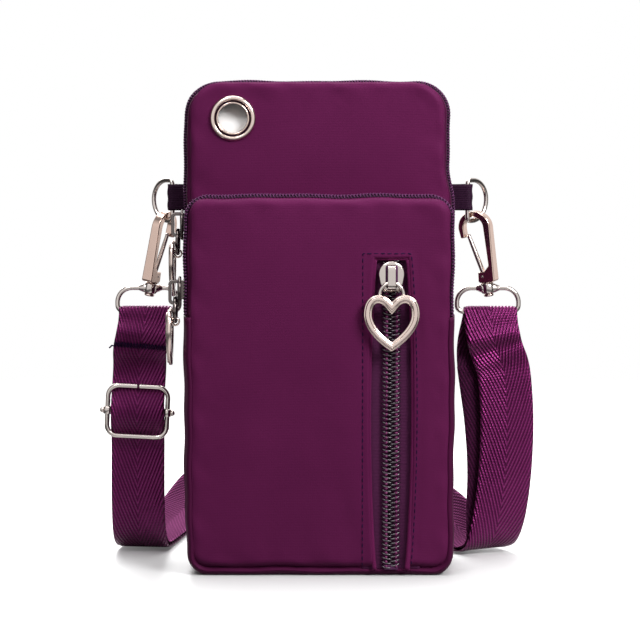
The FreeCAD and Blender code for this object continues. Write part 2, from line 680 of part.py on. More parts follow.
def strap_end(side):
    """Stations of the webbing folded over a loop's lower run: down the front and down the back."""
    centre = hook_place(side).Base + Vec(0, 0, -LOOP_HEIGHT)
    reach = LOOP_WIRE + TAB_PLAY + STRAP_PLY / 2
    front = OUTER_ROUTE[-1] if side > 0 else OUTER_ROUTE[0]
    foot = Vec(*front[:3])
    if side > 0:
        tail = Vec(INNER_END[-1][0], INNER_END[-1][1], foot.z)
    else:
        tail = Vec(foot.x, foot.y + STRAP_PLY + TAB_PLAY, foot.z + STRAP_WIDTH / 4)
    top_front = centre + Vec(0, -reach, -LOOP_WIRE)
    top_back = centre + Vec(0, reach, -LOOP_WIRE)
    stations = [foot, foot * 0.5 + top_front * 0.5, top_front]
    for step in range(0, 7):
        angle = math.radians(180 - 30 * step)
        stations.append(centre + Vec(0, reach * math.cos(angle), reach * math.sin(angle)))
    stations += [top_back, tail * 0.5 + top_back * 0.5, tail]
    return ribbon([(point, Vec(1, 0, 0)) for point in stations])


def ribbon(stations):
    """Webbing through stations of a centre and a direction across, cut level at both ends."""
    sections = []
    last = len(stations) - 1
    for number, (centre, across) in enumerate(stations):
        along = stations[min(number + 1, last)][0] - stations[max(number - 1, 0)][0]
        along.normalize()
        if number in (0, last):
            along = Vec(0, 0, math.copysign(1, along.z))
        across = across - along * across.dot(along)
        wide = across.normalize() * (STRAP_WIDTH / 2)
        thick = along.cross(wide).normalize() * (STRAP_PLY / 2)
        low = centre - thick
        high = centre + thick
        sections.append([low - wide, low + wide, high + wide, high - wide])
    faces = []
    for corners in (sections[0], sections[-1]):
        faces.append(Part.Face(Part.makePolygon(corners + corners[:1])))
    for here, ahead in zip(sections, sections[1:]):
        for number in range(4):
            after = (number + 1) % 4
            patch = Part.BezierSurface()
            patch.setPole(1, 1, here[number])
            patch.setPole(1, 2, here[after])
            patch.setPole(2, 1, ahead[number])
            patch.setPole(2, 2, ahead[after])
            faces.append(patch.toShape())
    skin = Part.makeShell(faces)
    skin.sewShape()
    solid = Part.makeSolid(skin)
    if solid.Volume < 0:
        solid.reverse()
    return solid


def route_stations(route):
    """Stations on a route's straight runs and on the tangent arcs that join them, and the arcs' radii."""
    places = [Vec(*row[:3]) for row in route]
    widths = [Vec(*row[3:]).normalize() for row in route]
    stations = [(places[0], widths[0])]
    radii = []
    for number in range(1, len(route) - 1):
        here = places[number]
        back = places[number - 1] - here
        ahead = places[number + 1] - here
        half_turn = (math.pi - back.getAngle(ahead)) / 2
        tangent = 0.45 * min(back.Length, ahead.Length)
        past = tangent / back.Length
        next_to = tangent / ahead.Length
        radii.append(tangent / math.tan(half_turn))
        start = here + back.normalize() * tangent
        end = here + ahead.normalize() * tangent
        sagitta = radii[-1] * (1 / math.cos(half_turn) - 1)
        middle = here + ((start + end) * 0.5 - here).normalize() * sagitta
        stations.append((start, widths[number] * (1 - past) + widths[number - 1] * past))
        stations.append((middle, widths[number]))
        stations.append((end, widths[number] * (1 - next_to) + widths[number + 1] * next_to))
    stations.append((places[-1], widths[-1]))
    return stations, radii


def inner_route():
    """The inner ply's route: its own two ends, and between them the outer ply's points moved inwards."""
    places = [Vec(*row[:3]) for row in OUTER_ROUTE]
    rows = list(INNER_START)
    for number in range(FOLLOW_FROM, FOLLOW_TO + 1):
        back = places[number] - places[number - 1]
        ahead = places[number + 1] - places[number]
        half_turn = back.getAngle(ahead) / 2
        across = Vec(*OUTER_ROUTE[number][3:])
        inwards = across.cross(back.normalize() + ahead.normalize()).normalize()
        place = places[number] + inwards * ((STRAP_PLY + PLY_GAP) / math.cos(half_turn))
        rows.append((place.x, place.y, place.z, across.x, across.y, across.z))
    return rows + INNER_END


def strap():
    """The strap's two long plies, with their lengths, tightest radii and volumes."""
    for name, route in (("strap_outer", OUTER_ROUTE), ("strap_inner", inner_route())):
        stations, radii = route_stations(route)
        solid = ribbon(stations)
        length = sum((b[0] - a[0]).Length for a, b in zip(stations, stations[1:]))
        share = solid.Volume / (length * STRAP_WIDTH * STRAP_PLY)
        print(name, "length %.1f mm, volume over section times length %.3f" % (length, share))
        print("  arc radii:", " ".join("%.0f" % radius for radius in radii))
        export(solid, name)
    export(strap_end(-1), "strap_left_end")
    export(strap_end(1), "strap_right_end")


def buckle():
    """Wire buckle frame and the loose bar whose collars slide on the frame's sides."""
    frame = wire_frame(BUCKLE_HALF_WIDTH, BUCKLE_HALF_HEIGHT, BUCKLE_CORNER, BUCKLE_WIRE)
    bar = [rod(Vec(-BUCKLE_HALF_WIDTH, 0, 0), Vec(BUCKLE_HALF_WIDTH, 0, 0), BAR_RADIUS)]
    bores = []
    for way in (-1, 1):
        side = Vec(way * BUCKLE_HALF_WIDTH, 0, 0)
        up = Vec(0, 0, BAR_COLLAR_HALF)
        bar.append(rod(side - up, side + up, BAR_COLLAR))
        bar.append(Part.makeSphere(KNOB_RADIUS, side + Vec(way * (BAR_COLLAR + KNOB_RADIUS / 2), 0, 0)))
        bores.append(rod(side - up * 2, side + up * 2, BUCKLE_WIRE + BAR_PLAY))
    tilt = FreeCAD.Rotation(Vec(0, 1, 0), BUCKLE_TILT)
    place = FreeCAD.Placement(Vec(BUCKLE_X, BUCKLE_Y, BUCKLE_Z), tilt)
    pieces = {"buckle_frame": frame, "buckle_bar": one_solid(bar).cut(bores[0]).cut(bores[1])}
    for node, solid in pieces.items():
        solid.Placement = place
        export(solid, node)


def hardware():
    """Tab, D-ring, hook, gate, pin, spring and loop on each side."""
    for name, side in (("left", -1), ("right", 1)):
        export(tab(side), name + "_tab")
        export(d_ring(side), name + "_d_ring")
        export(loop(side), name + "_swivel_loop")
        pieces = {
            "hook": hook(),
            "gate": gate(),
            "gate_pin": gate_pin_place(PIN_RADIUS, HOOK_DEPTH),
            "gate_spring": gate_spring(),
        }
        for kind, solid in pieces.items():
            solid.Placement = hook_place(side)
            export(solid, name + "_" + kind)


os.makedirs("parts", exist_ok=True)
panels()
compartment("main", POUCH_HEIGHT, TOP_RADIUS, MIDDLE_BACK, REAR_FRONT, MAIN_ZIP_Y, MAIN_ZIP_END)
compartment("front", FRONT_HEIGHT, FRONT_TOP_RADIUS, FRONT_BACK, MIDDLE_FRONT, FRONT_ZIP_Y, FRONT_ZIP_END)
linings()
pocket()
pulls()
eyelet()
hardware()
buckle()
strap()
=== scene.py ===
import math

import bmesh
import bpy
import numpy as np
from mathutils import Matrix, Vector


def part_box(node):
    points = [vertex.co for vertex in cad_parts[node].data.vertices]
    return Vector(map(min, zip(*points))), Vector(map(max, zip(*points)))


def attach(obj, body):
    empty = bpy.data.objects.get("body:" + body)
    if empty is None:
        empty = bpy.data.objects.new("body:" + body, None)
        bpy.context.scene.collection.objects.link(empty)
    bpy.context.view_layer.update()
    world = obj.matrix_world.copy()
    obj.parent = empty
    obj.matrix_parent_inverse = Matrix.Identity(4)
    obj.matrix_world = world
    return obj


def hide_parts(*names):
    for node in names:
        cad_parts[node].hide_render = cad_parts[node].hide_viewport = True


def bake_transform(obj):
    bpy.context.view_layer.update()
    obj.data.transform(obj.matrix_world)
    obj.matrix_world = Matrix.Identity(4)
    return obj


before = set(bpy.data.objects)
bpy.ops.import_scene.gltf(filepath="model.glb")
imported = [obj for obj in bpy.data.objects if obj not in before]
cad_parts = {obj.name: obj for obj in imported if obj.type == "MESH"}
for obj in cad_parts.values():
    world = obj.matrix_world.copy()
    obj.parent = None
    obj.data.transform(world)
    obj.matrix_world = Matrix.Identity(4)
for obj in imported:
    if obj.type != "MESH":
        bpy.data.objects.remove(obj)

bl_info = {
    "name": "Phone pouch",
    "version": (1, 0, 0),
    "blender": (4, 5, 0),
    "location": "View3D > Sidebar > Pouch",
    "description": "Builds the cloth, webbing, zips and metal of an upright phone pouch",
    "category": "Object",
}

MM = 0.001

# Places of the pouch in the shared frame, in millimetres
SIDE_X = 50.0
TOP_Z = 184.0
FRONT_TOP_Z = 143.0
TOP_RADIUS = 12.0
FRONT_RADIUS = 8.0
BASE_RADIUS = 8.0
FRONT_FACE = -19.0
FRONT_BACK = -17.4
MIDDLE_FRONT = 0.2
REAR_FACE = 19.0
FRONT_ZIP_Y = -15.0
MAIN_ZIP_Y = 6.1
FRONT_ZIP_END = 98.0
MAIN_ZIP_END = 118.0
POCKET_X = 26.6
POCKET_HALF = 6.0
POCKET_LOW = 3.5
POCKET_HIGH = 119.7
EYELET = (-32.8, 171.4)
CLOTH = 0.9
TAPE = 0.5

# The D-rings: x and y of the straight bar, height of the middle, radius of the bow and of the wire
BAR_X = 56.7
BAR_Y = 18.6
RING_Z = 139.0
RING_RADIUS = 7.8
RING_WIRE = 0.9

# The zip pulls: depth of the ring's wire before the slider's middle, height of the heart's lug
PULL_RING_Y = -4.05
LUG_Z = -5.25

# The webbing's half width, and the drop from a loop's upper run to its lower one
WEBBING_HALF = 10.3
LOOP_DROP = 9.2

# Strap routes: centre x, y, z, then the direction across the webbing
OUTER_ROUTE = [
    (-69.8, 19.9, 75.6, 1, 0, 0),
    (-70.2, 20.2, 69.4, 1, 0, 0),
    (-70.5, 14.5, 60.8, 1, 0, 0),
    (-70.7, 14.5, 54.2, 1, 0, 0),
    (-70.8, 20.2, 45.8, 1, 0, 0),
    (-70.9, 19.9, 36, 1, 0, 0),
    (-71, 19.8, 20, 1, 0, 0),
    (-70.8, 22.5, 7.5, 1, 0, 0),
    (-69.9, 30, 1.5, 1, -0.1, 0),
    (-68.2, 40, 0.7, 0.98, -0.2, 0),
    (-64.6, 58, 0.8, 0.98, -0.2, 0),
    (-60.4, 78, 1.5, 0.97, -0.2, -0.08),
    (-56.2, 98, 3.9, 0.93, -0.2, -0.31),
    (-51, 120, 8.2, 0.63, -0.25, -0.74),
    (-43, 143, 10.8, 0, 0, -1),
    (-29, 164, 10.8, 0, 0, -1),
    (-7, 176, 10.8, 0, 0, -1),
    (17, 173, 10.8, 0, 0, -1),
    (36, 157, 10.8, 0, 0, -1),
    (46, 133, 10.8, 0, 0, -1),
    (49, 107, 10.8, 0, 0, -1),
    (49.5, 83, 10.8, 0, 0, -1),
    (50.5, 62, 10.6, -0.15, -0.1, -1),
    (53.5, 46, 7.9, -0.6, -0.35, -0.7),
    (58.5, 34, 3.8, -0.85, -0.42, -0.3),
    (63.5, 26, 1, -0.877, -0.48, 0),
    (67.5, 20.6, 5.5, -0.95, -0.3, 0),
    (70.3, 19.2, 17, -1, -0.1, 0),
    (72.2, 18.8, 34, -1, 0, 0),
    (72.8, 18.5, 54, -1, 0, 0),
    (71.6, 18.3, 70, -1, 0, 0),
    (70.6, 18.2, 75.6, -1, 0, 0),
]
INNER_START = [
    (-70.65, 16.8, 62.0, 1, 0, 0),
    (-70.65, 18.3, 61.6, 1, 0, 0),
    (-70.7, 19.2, 55.6, 1, 0, 0),
    (-70.8, 21.9, 46, 1, 0, 0),
    (-70.9, 21.5, 36, 1, 0, 0),
]
INNER_END = [
    (67.2, 21.9, 17, -1, -0.1, 0),
    (68, 21.5, 34, -1, 0, 0),
    (66.5, 21.4, 54, -1, 0, 0),
    (64.4, 21.3, 68, -1, 0, 0),
    (63.4, 21.2, 75.6, -1, 0, 0),
]
# Each ply is made in two halves: numbers of the route points at which the right halves start
OUTER_SPLIT = 17
INNER_SPLIT = 18


class Wire:
    """An output socket in a material's node tree, with arithmetic."""

    def __init__(self, tree, socket):
        self.tree = tree
        self.socket = socket

    def node(self, kind, inputs, output=0, **settings):
        """A new node of any kind; inputs maps its socket names or numbers to wires or constants."""
        made = self.tree.nodes.new(kind)
        for key, value in settings.items():
            setattr(made, key, value)
        for key, value in inputs.items():
            if isinstance(value, Wire):
                self.tree.links.new(value.socket, made.inputs[key])
            else:
                made.inputs[key].default_value = value
        return Wire(self.tree, made.outputs[output])

    def math(self, operation, *others):
        inputs = {number: value for number, value in enumerate((self,) + others)}
        return self.node("ShaderNodeMath", inputs, operation=operation)

    def __add__(self, other):
        return self.math("ADD", other)

    def __radd__(self, other):
        return self.math("ADD", other)

    def __mul__(self, other):
        return self.math("MULTIPLY", other)

    def __sub__(self, other):
        return self.math("SUBTRACT", other)

    def __rsub__(self, other):
        return (self * -1.0) + other

    def __pow__(self, other):
        return self.math("POWER", other)

    def parts(self):
        """This wire's x, y and z."""
        made = self.tree.nodes.new("ShaderNodeSeparateXYZ")
        self.tree.links.new(self.socket, made.inputs[0])
        return [Wire(self.tree, made.outputs[axis]) for axis in range(3)]

    def clamped(self, high=1.0):
        """This wire held between zero and high."""
        return self.math("MINIMUM", high).math("MAXIMUM", 0.0)

    def noise(self, scale, detail):
        """Noise over the place that this wire gives."""
        return self.node("ShaderNodeTexNoise", {"Vector": self, "Scale": scale, "Detail": detail})

    def mix(self, low, high):
        """A colour between low and high, with this wire as the factor."""
        return self.node("ShaderNodeMix", {0: self, 6: low, 7: high}, output=2, data_type="RGBA")


def coordinates(tree, kind):
    """An output of a new coordinate node."""
    return Wire(tree, tree.nodes.new("ShaderNodeTexCoord").outputs[kind])


def ray_kind(tree, kind):
    """An output of a new node that tells which kind of ray is traced."""
    return Wire(tree, tree.nodes.new("ShaderNodeLightPath").outputs[kind])


class Material:
    """A principled material that its maker fills with wires."""

    def __init__(self, name, **constants):
        self.material = bpy.data.materials.new(name)
        self.material.use_nodes = True
        self.tree = self.material.node_tree
        self.shader = self.tree.nodes["Principled BSDF"]
        for key, value in constants.items():
            self.shader.inputs[key.replace("_", " ")].default_value = value

    def place(self, kind="Object"):
        """The place on the piece as one wire."""
        return coordinates(self.tree, kind)

    def feed(self, key, wire):
        self.tree.links.new(wire.socket, self.shader.inputs[key])

    def bump(self, height, strength, distance):
        settings = {"Height": height, "Strength": strength, "Distance": distance}
        self.feed("Normal", height.node("ShaderNodeBump", settings))


def linear(colour):
    """Linear colour of an sRGB triple from 0 to 255."""
    values = []
    for value in colour:
        share = value / 255
        values.append(share / 12.92 if share <= 0.04045 else ((share + 0.055) / 1.055) ** 2.4)
    return (*values, 1.0)


def nylon_material(name, low, high):
    """Tightly woven nylon: crossed fine ribs for the weave, a slow cloud of tone."""
    made = Material(name, Specular_IOR_Level=0.12, Specular_Tint=linear((230, 150, 210)))
    place = made.place()
    x, y, z = place.parts()
    cloud = place.noise(34.0, 3.0)
    weave = (x * 9000.0).math("SINE") * 0.25 + ((y + z) * 6400.0).math("SINE") * 0.75
    grain = place.noise(1900.0, 2.0)
    tone = cloud * 0.75 + weave * 0.035 + grain * 0.28 - 0.02
    made.feed("Base Color", tone.mix(linear(low), linear(high)))
    made.feed("Roughness", grain * 0.1 + 0.45)
    made.bump(weave * 0.2 + grain * 0.9, 0.35, 0.0001)
    return made.material


def webbing_material(name, low, high, gloss, sheen):
    """Herringbone webbing: steep yarns that meet in a V at mid width, from the ribbon's u and v."""
    made = Material(name, Specular_IOR_Level=gloss, Specular_Tint=linear((250, 95, 205)))
    made.shader.inputs["Sheen Weight"].default_value = sheen
    made.shader.inputs["Sheen Roughness"].default_value = 0.5
    made.shader.inputs["Sheen Tint"].default_value = linear((250, 140, 215))
    u, v = made.place("UV").parts()[:2]
    across = u * 20.0
    along = v * 20.0
    inwards = 10.0 - (across - 10.0).math("ABSOLUTE")
    yarn_pitch = 3.4
    pick_pitch = 1.1
    yarn = ((inwards * 2.7 - along) * (2 * math.pi / yarn_pitch)).math("SINE") * 0.5 + 0.5
    pick = (along * (2 * math.pi / pick_pitch)).math("SINE") * 0.5 + 0.5
    place = made.place()
    cloud = place.noise(90.0, 2.0)
    fleck = place.noise(1500.0, 1.0)
    level = (yarn ** 2.2) * (0.5 + pick * 0.5)
    tone = level * 0.9 + cloud * 0.2 + fleck * 0.25 - 0.16
    made.feed("Base Color", tone.mix(linear(low), linear(high)))
    made.feed("Roughness", 0.36 - level * 0.12)
    made.bump(yarn * 0.9 + pick * 0.25 + fleck * 0.25, 0.8, 0.0004)
    return made.material


def ribbed_material(name, low, high, pitch, rough):
    """Woven tape or ribbon: fine ribs one above another."""
    made = Material(name, Specular_IOR_Level=0.12)
    place = made.place()
    rib = (place.parts()[2] * (2 * math.pi / (pitch * MM))).math("SINE") * 0.5 + 0.5
    grain = place.noise(900.0, 2.0)
    made.feed("Base Color", (rib * 0.5 + grain * 0.5).mix(linear(low), linear(high)))
    made.feed("Roughness", grain * 0.15 + (rough - 0.07))
    made.bump(rib * 0.6 + grain * 0.6, 0.5, 0.0002)
    return made.material


def metal_material(name, colour, rough):
    """Polished plating with faint wear in its gloss."""
    made = Material(name, Metallic=1.0, Base_Color=linear(colour))
    made.feed("Roughness", made.place().noise(300.0, 3.0) * 0.08 + (rough - 0.04))
    return made.material


def plain_material(name, low, high, rough, scale, gloss):
    """Plain satin surface with a little tone in it."""
    made = Material(name, Specular_IOR_Level=gloss)
    cloud = made.place().noise(scale, 2.0)
    made.feed("Base Color", cloud.mix(linear(low), linear(high)))
    made.feed("Roughness", cloud * 0.1 + (rough - 0.05))
    return made.material


# The pouch's finishes: the maker of the material, then what it is given
FINISHES = {
    "nylon": (nylon_material, (78, 21, 59), (97, 30, 74)),
    "gusset": (nylon_material, (58, 14, 43), (80, 23, 60)),
    # A lighter copy of the nylon for the window's folded edges: painted highlight on the folds.
    "highlit_welt": (nylon_material, (86, 23, 64), (108, 35, 82)),
    "webbing": (webbing_material, (26, 3, 21), (146, 52, 117), 1.0, 0.0),
    # A darker copy of the webbing for the inner ply and the fold's rear: painted shade. The pink sheen is a
    # real shader lobe.
    "shaded_webbing": (webbing_material, (24, 4, 20), (84, 28, 67), 0.0, 1.0),
    "tape": (ribbed_material, (66, 22, 56), (86, 34, 73), 0.55, 0.7),
    "ribbon": (ribbed_material, (26, 8, 25), (54, 20, 50), 0.7, 0.6),
    "coil": (plain_material, (46, 18, 42), (112, 64, 106), 0.6, 900.0, 0.05),
    "teeth": (plain_material, (22, 10, 20), (62, 40, 58), 0.24, 600.0, 0.9),
    "thread": (plain_material, (26, 6, 40), (40, 14, 60), 0.7, 600.0, 0.1),
    "pink_thread": (plain_material, (112, 50, 92), (140, 72, 116), 0.7, 600.0, 0.1),
    "lining": (plain_material, (240, 240, 240), (252, 252, 252), 0.5, 60.0, 0.5),
    "metal": (metal_material, (224, 205, 196), 0.16),
    "rose": (metal_material, (222, 194, 181), 0.17),
    "silver": (metal_material, (206, 196, 191), 0.14),
    # A darker copy of the silver for the side zips' sliders and rings: painted shade and painted dark
    # reflection.
    "shaded_silver": (metal_material, (104, 96, 94), 0.14),
}
MATERIALS = {}


def material(name):
    """One of the pouch's finishes, made when it is first asked for."""
    if name not in MATERIALS:
        maker, *look = FINISHES[name]
        MATERIALS[name] = maker(name, *look)
    return MATERIALS[name]


def mesh_object(name, points, faces, uv=None, smooth=True):
    """Object from points in millimetres and faces of point numbers; uv is given for each point."""
    mesh = bpy.data.meshes.new(name)
    corners = [list(map(int, face)) for face in faces]
    mesh.from_pydata((np.asarray(points, float) * MM).tolist(), [], corners)
    if uv is not None:
        layer = mesh.uv_layers.new(name="UVMap")
        numbers = np.zeros(len(mesh.loops), np.int32)
        mesh.loops.foreach_get("vertex_index", numbers)
        layer.data.foreach_set("uv", np.asarray(uv, np.float32)[numbers].ravel())
    mesh.polygons.foreach_set("use_smooth", np.full(len(mesh.polygons), smooth))
    mesh.update()
    made = bpy.data.objects.new(name, mesh)
    bpy.context.scene.collection.objects.link(made)
    return made


def mesh_points(mesh):
    """The mesh's points in millimetres."""
    flat = np.zeros(len(mesh.vertices) * 3)
    mesh.vertices.foreach_get("co", flat)
    return flat.reshape(-1, 3) / MM


def placed(x, y, z):
    """Rows of points from coordinates, each an array or one number for all."""
    return np.stack(np.broadcast_arrays(x, y, z), -1).astype(float).reshape(-1, 3)


def grid_faces(rows, columns, wrap_rows=False, wrap_columns=False, flip=False):
    """Quads of a grid of points, wrapped round where asked."""
    i = np.arange(rows if wrap_rows else rows - 1)[:, None]
    j = np.arange(columns if wrap_columns else columns - 1)[None, :]
    i2 = (i + 1) % rows
    j2 = (j + 1) % columns
    quads = np.stack([i * columns + j, i2 * columns + j, i2 * columns + j2, i * columns + j2], -1)
    quads = quads.reshape(-1, 4)
    return quads[:, ::-1] if flip else quads


def sleeve_faces(rows, columns, flip=False):
    """Faces of rows of points that go round, with a face over each end."""
    faces = grid_faces(rows, columns, False, True, flip).tolist()
    faces.append(list(range(columns)))
    faces.append([(rows - 1) * columns + number for number in reversed(range(columns))])
    return faces


def joined(parts):
    """Points and faces of several pieces as one."""
    points = []
    faces = []
    start = 0
    for part_points, part_faces in parts:
        part_points = np.asarray(part_points, float).reshape(-1, 3)
        points.append(part_points)
        faces += [[start + int(number) for number in face] for face in part_faces]
        start += len(part_points)
    return np.concatenate(points), faces


def moved(shape, turn, place):
    """Points and faces of a shape turned by a matrix and moved to a place."""
    points, faces = shape
    return moved_points(points, turn, place), faces


def moved_points(points, turn, place):
    """Points turned by a matrix and moved to a place."""
    return np.asarray(points, float) @ np.asarray(turn, float).T + np.asarray(place, float)


def unit(vectors):
    """Vectors of length one."""
    vectors = np.asarray(vectors, float)
    return vectors / np.maximum(np.linalg.norm(vectors, axis=-1, keepdims=True), 1e-12)


def tangents(path, closed=False):
    """Directions along a path of points."""
    if closed:
        return unit(np.roll(path, -1, 0) - np.roll(path, 1, 0))
    return unit(np.gradient(path, axis=0))


def run_lengths(path):
    """Length of the way from a path's start to each of its points."""
    return np.concatenate([[0], np.cumsum(np.linalg.norm(np.diff(path, axis=0), axis=1))])


def half_angle(back, ahead):
    """Half of the angle between two directions."""
    return math.acos(np.clip(np.dot(back, ahead), -1, 1)) / 2


def tube(path, radius, sides=12, closed=False):
    """Points and faces of a round tube: a circle carried along a path without twist."""
    path = np.asarray(path, float)
    along = tangents(path, closed)
    normal = np.array([0.0, 0.0, 1.0]) if abs(along[0][2]) < 0.9 else np.array([1.0, 0.0, 0.0])
    normals = []
    for direction in along:
        normal = normal - direction * np.dot(normal, direction)
        normal = normal / np.linalg.norm(normal)
        normals.append(normal)
    normals = np.array(normals)
    others = np.cross(along, normals)
    twist = 0.0
    if closed:
        last = normals[-1] - along[0] * np.dot(normals[-1], along[0])
        twist = math.atan2(np.dot(last, others[0]), np.dot(last, normals[0]))
    angles = np.linspace(0, 2 * math.pi, sides, endpoint=False)[None, :]
    angles = angles - twist * np.linspace(0, 1, len(path))[:, None]
    radii = np.broadcast_to(np.asarray(radius, float), (len(path),))[:, None, None]
    points = path[:, None] + radii * (
        np.cos(angles)[..., None] * normals[:, None] + np.sin(angles)[..., None] * others[:, None]
    )
    if closed:
        faces = grid_faces(len(path), sides, True, True, flip=True)
    else:
        faces = sleeve_faces(len(path), sides, flip=True)
    return points.reshape(-1, 3), faces


def revolved(profile, place, axis, sides):
    """Points and faces of an open profile of radius and height turned about an axis through place."""
    profile = np.asarray(profile, float)
    axis = unit(axis)
    side = unit(np.cross(axis, [0.3, 0.2, 0.9] if abs(axis[2]) < 0.9 else [1.0, 0.0, 0.0]))
    other = np.cross(axis, side)
    angles = np.linspace(0, 2 * math.pi, sides, endpoint=False)
    round_way = np.cos(angles)[:, None] * side + np.sin(angles)[:, None] * other
    points = (
        np.asarray(place, float)
        + profile[:, None, :1] * round_way[None]
        + profile[:, None, 1:] * axis[None, None]
    )
    return points.reshape(-1, 3), grid_faces(len(profile), sides, False, True)


def resampled(path, step):
    """Points at even steps on a polyline, with its two ends kept."""
    path = np.asarray(path, float)
    lengths = run_lengths(path)
    count = max(2, int(round(lengths[-1] / step)) + 1)
    places = np.linspace(0, lengths[-1], count)
    return np.stack([np.interp(places, lengths, path[:, axis]) for axis in range(path.shape[1])], 1)


def rounded_path(corners, radius, step, closed=False):
    """Points about a step apart on a flat path with its corners rounded."""
    corners = np.asarray(corners, float)
    radii = np.broadcast_to(np.asarray(radius, float), (len(corners),))
    pieces = []
    count = len(corners)
    for number in range(count):
        here = corners[number]
        if not closed and number in (0, count - 1):
            pieces.append(here[None])
            continue
        back = unit(corners[number - 1] - here)
        ahead = unit(corners[(number + 1) % count] - here)
        half = half_angle(back, ahead)
        middle = here + unit(back + ahead) * (radii[number] / math.sin(half))
        away = unit(here + back * (radii[number] / math.tan(half)) - middle)
        cross = unit(-back + away * np.dot(back, away))
        sweep = math.pi - 2 * half
        turns = np.linspace(0, sweep, max(4, int(sweep * radii[number] / step * 2) + 2))[:, None]
        pieces.append(middle + radii[number] * (np.cos(turns) * away + np.sin(turns) * cross))
    path = np.concatenate(pieces)
    if closed:
        return resampled(np.concatenate([path, path[:1]]), step)[:-1]
    return resampled(path, step)


def outward(path):
    """Directions to the left of a flat path."""
    along = tangents(path)
    return np.stack([-along[:, 1], along[:, 0]], 1)


def arch(half, height, radius, low, step):
    """Flat path up the left leg, over the top and down the right leg."""
    return rounded_path([(-half, low), (-half, height), (half, height), (half, low)], radius, step)


def trough(half, height, radius, step):
    """Flat path down the right leg, along the base and up the left leg."""
    return rounded_path([(half, height), (half, 0), (-half, 0), (-half, height)], radius, step)


def strip(path, section):
    """Points and faces of a section of outset and depth carried along a flat path."""
    section = np.asarray(section, float)
    flat = path[:, None] + outward(path)[:, None] * section[None, :, :1]
    points = placed(flat[..., 0], section[None, :, 1], flat[..., 1])
    return points, grid_faces(len(path), len(section))


def smooth_section(points, count):
    """A smooth line through section points."""
    points = np.asarray(points, float)
    places = np.linspace(0, len(points) - 1, count)
    low = np.clip(places.astype(int), 0, len(points) - 2)
    share = (places - low)[:, None]
    before = points[np.clip(low - 1, 0, None)]
    here = points[low]
    ahead = points[low + 1]
    after = points[np.clip(low + 2, None, len(points) - 1)]
    return 0.5 * (
        2 * here
        + (ahead - before) * share
        + (2 * before - 5 * here + 4 * ahead - after) * share**2
        + (3 * here - before - 3 * ahead + after) * share**3
    )


def slab(outline, low, high):
    """Points and faces of a flat outline of x and z between two depths."""
    outline = np.asarray(outline, float)
    count = len(outline)
    after = np.roll(outline, -1, 0)
    if np.sum(outline[:, 0] * after[:, 1] - after[:, 0] * outline[:, 1]) < 0:
        outline = outline[::-1]
    points = [placed(outline[:, 0], depth, outline[:, 1]) for depth in (low, high)]
    faces = [list(range(count)), [count + number for number in reversed(range(count))]]
    for number in range(count):
        follower = (number + 1) % count
        faces.append([follower, number, count + number, count + follower])
    return np.concatenate(points), faces


def box_outline(left, right, low, high):
    """Corners of an upright rectangle."""
    return [(left, low), (right, low), (right, high), (left, high)]


def finish_piece(made, finish, body, nodes=()):
    """Gives a piece its finish and body, and says which nodes it stands for."""
    made.data.materials.append(material(finish))
    if body:
        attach(made, body)
    if nodes:
        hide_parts(*nodes)
    return made


def bevelled(made, width, segments=3, angle=40):
    """Rounds the piece's edges."""
    bevel = made.modifiers.new("Bevel", "BEVEL")
    bevel.width = width * MM
    bevel.segments = segments
    bevel.limit_method = "ANGLE"
    bevel.angle_limit = math.radians(angle)
    bevel.harden_normals = True
    return made


def thickened(made, thickness, offset=-1.0):
    """Gives a cloth sheet its thickness."""
    solid = made.modifiers.new("Solidify", "SOLIDIFY")
    solid.thickness = thickness * MM
    solid.offset = offset
    return made


def outward_faces(made):
    """Turns the mesh's faces outwards."""
    work = bmesh.new()
    work.from_mesh(made.data)
    bmesh.ops.recalc_face_normals(work, faces=work.faces)
    work.to_mesh(made.data)
    work.free()
    made.data.update()
    return made


def outward_from(made, centre):
    """Turns an open sheet so that its faces look away from a point."""
    count = len(made.data.polygons)
    normals = np.zeros(count * 3)
    centres = np.zeros(count * 3)
    made.data.polygons.foreach_get("normal", normals)
    made.data.polygons.foreach_get("center", centres)
    away = centres.reshape(-1, 3) - np.asarray(centre, float) * MM
    if np.sum(normals.reshape(-1, 3) * away) < 0:
        made.data.flip_normals()
    return made


def solid_piece(name, shape, finish, body, nodes=(), bevel=None, wall=None, smooth=True):
    """A piece whose faces are turned outwards, with its edges rounded or a wall given where asked."""
    made = outward_faces(mesh_object(name, *shape, smooth=smooth))
    if bevel:
        bevelled(made, *bevel)
    if wall:
        thickened(made, wall)
    return finish_piece(made, finish, body, nodes)


def strip_piece(name, shape, finish, thickness, centre, nodes, offset=-1.0):
    """A cloth strip on the pouch whose faces look away from a point."""
    made = outward_from(mesh_object(name, *shape), centre)
    thickened(made, thickness, offset)
    return finish_piece(made, finish, "pouch", nodes)


def sheet_piece(name, x, y, z, finish, thickness, nodes, offset=-1.0):
    """A cloth sheet on the pouch that faces the front, from grids of coordinates."""
    made = mesh_object(name, placed(x, y, z), grid_faces(*np.shape(x), flip=True))
    thickened(made, thickness, offset)
    return finish_piece(made, finish, "pouch", nodes)


SURFACES = {}


def on_surface(name, x, z):
    """Depth of a panel's cloth at places given by x and z."""
    cloth = SURFACES[name]
    depth = []
    for place in np.stack([x, z], 1):
        apart = np.sum((cloth[:, [0, 2]] - place) ** 2, axis=1)
        close = np.argsort(apart)[:4]
        weight = 1 / (apart[close] + 0.01)
        depth.append(np.sum(cloth[close, 1] * weight) / np.sum(weight))
    return np.array(depth)


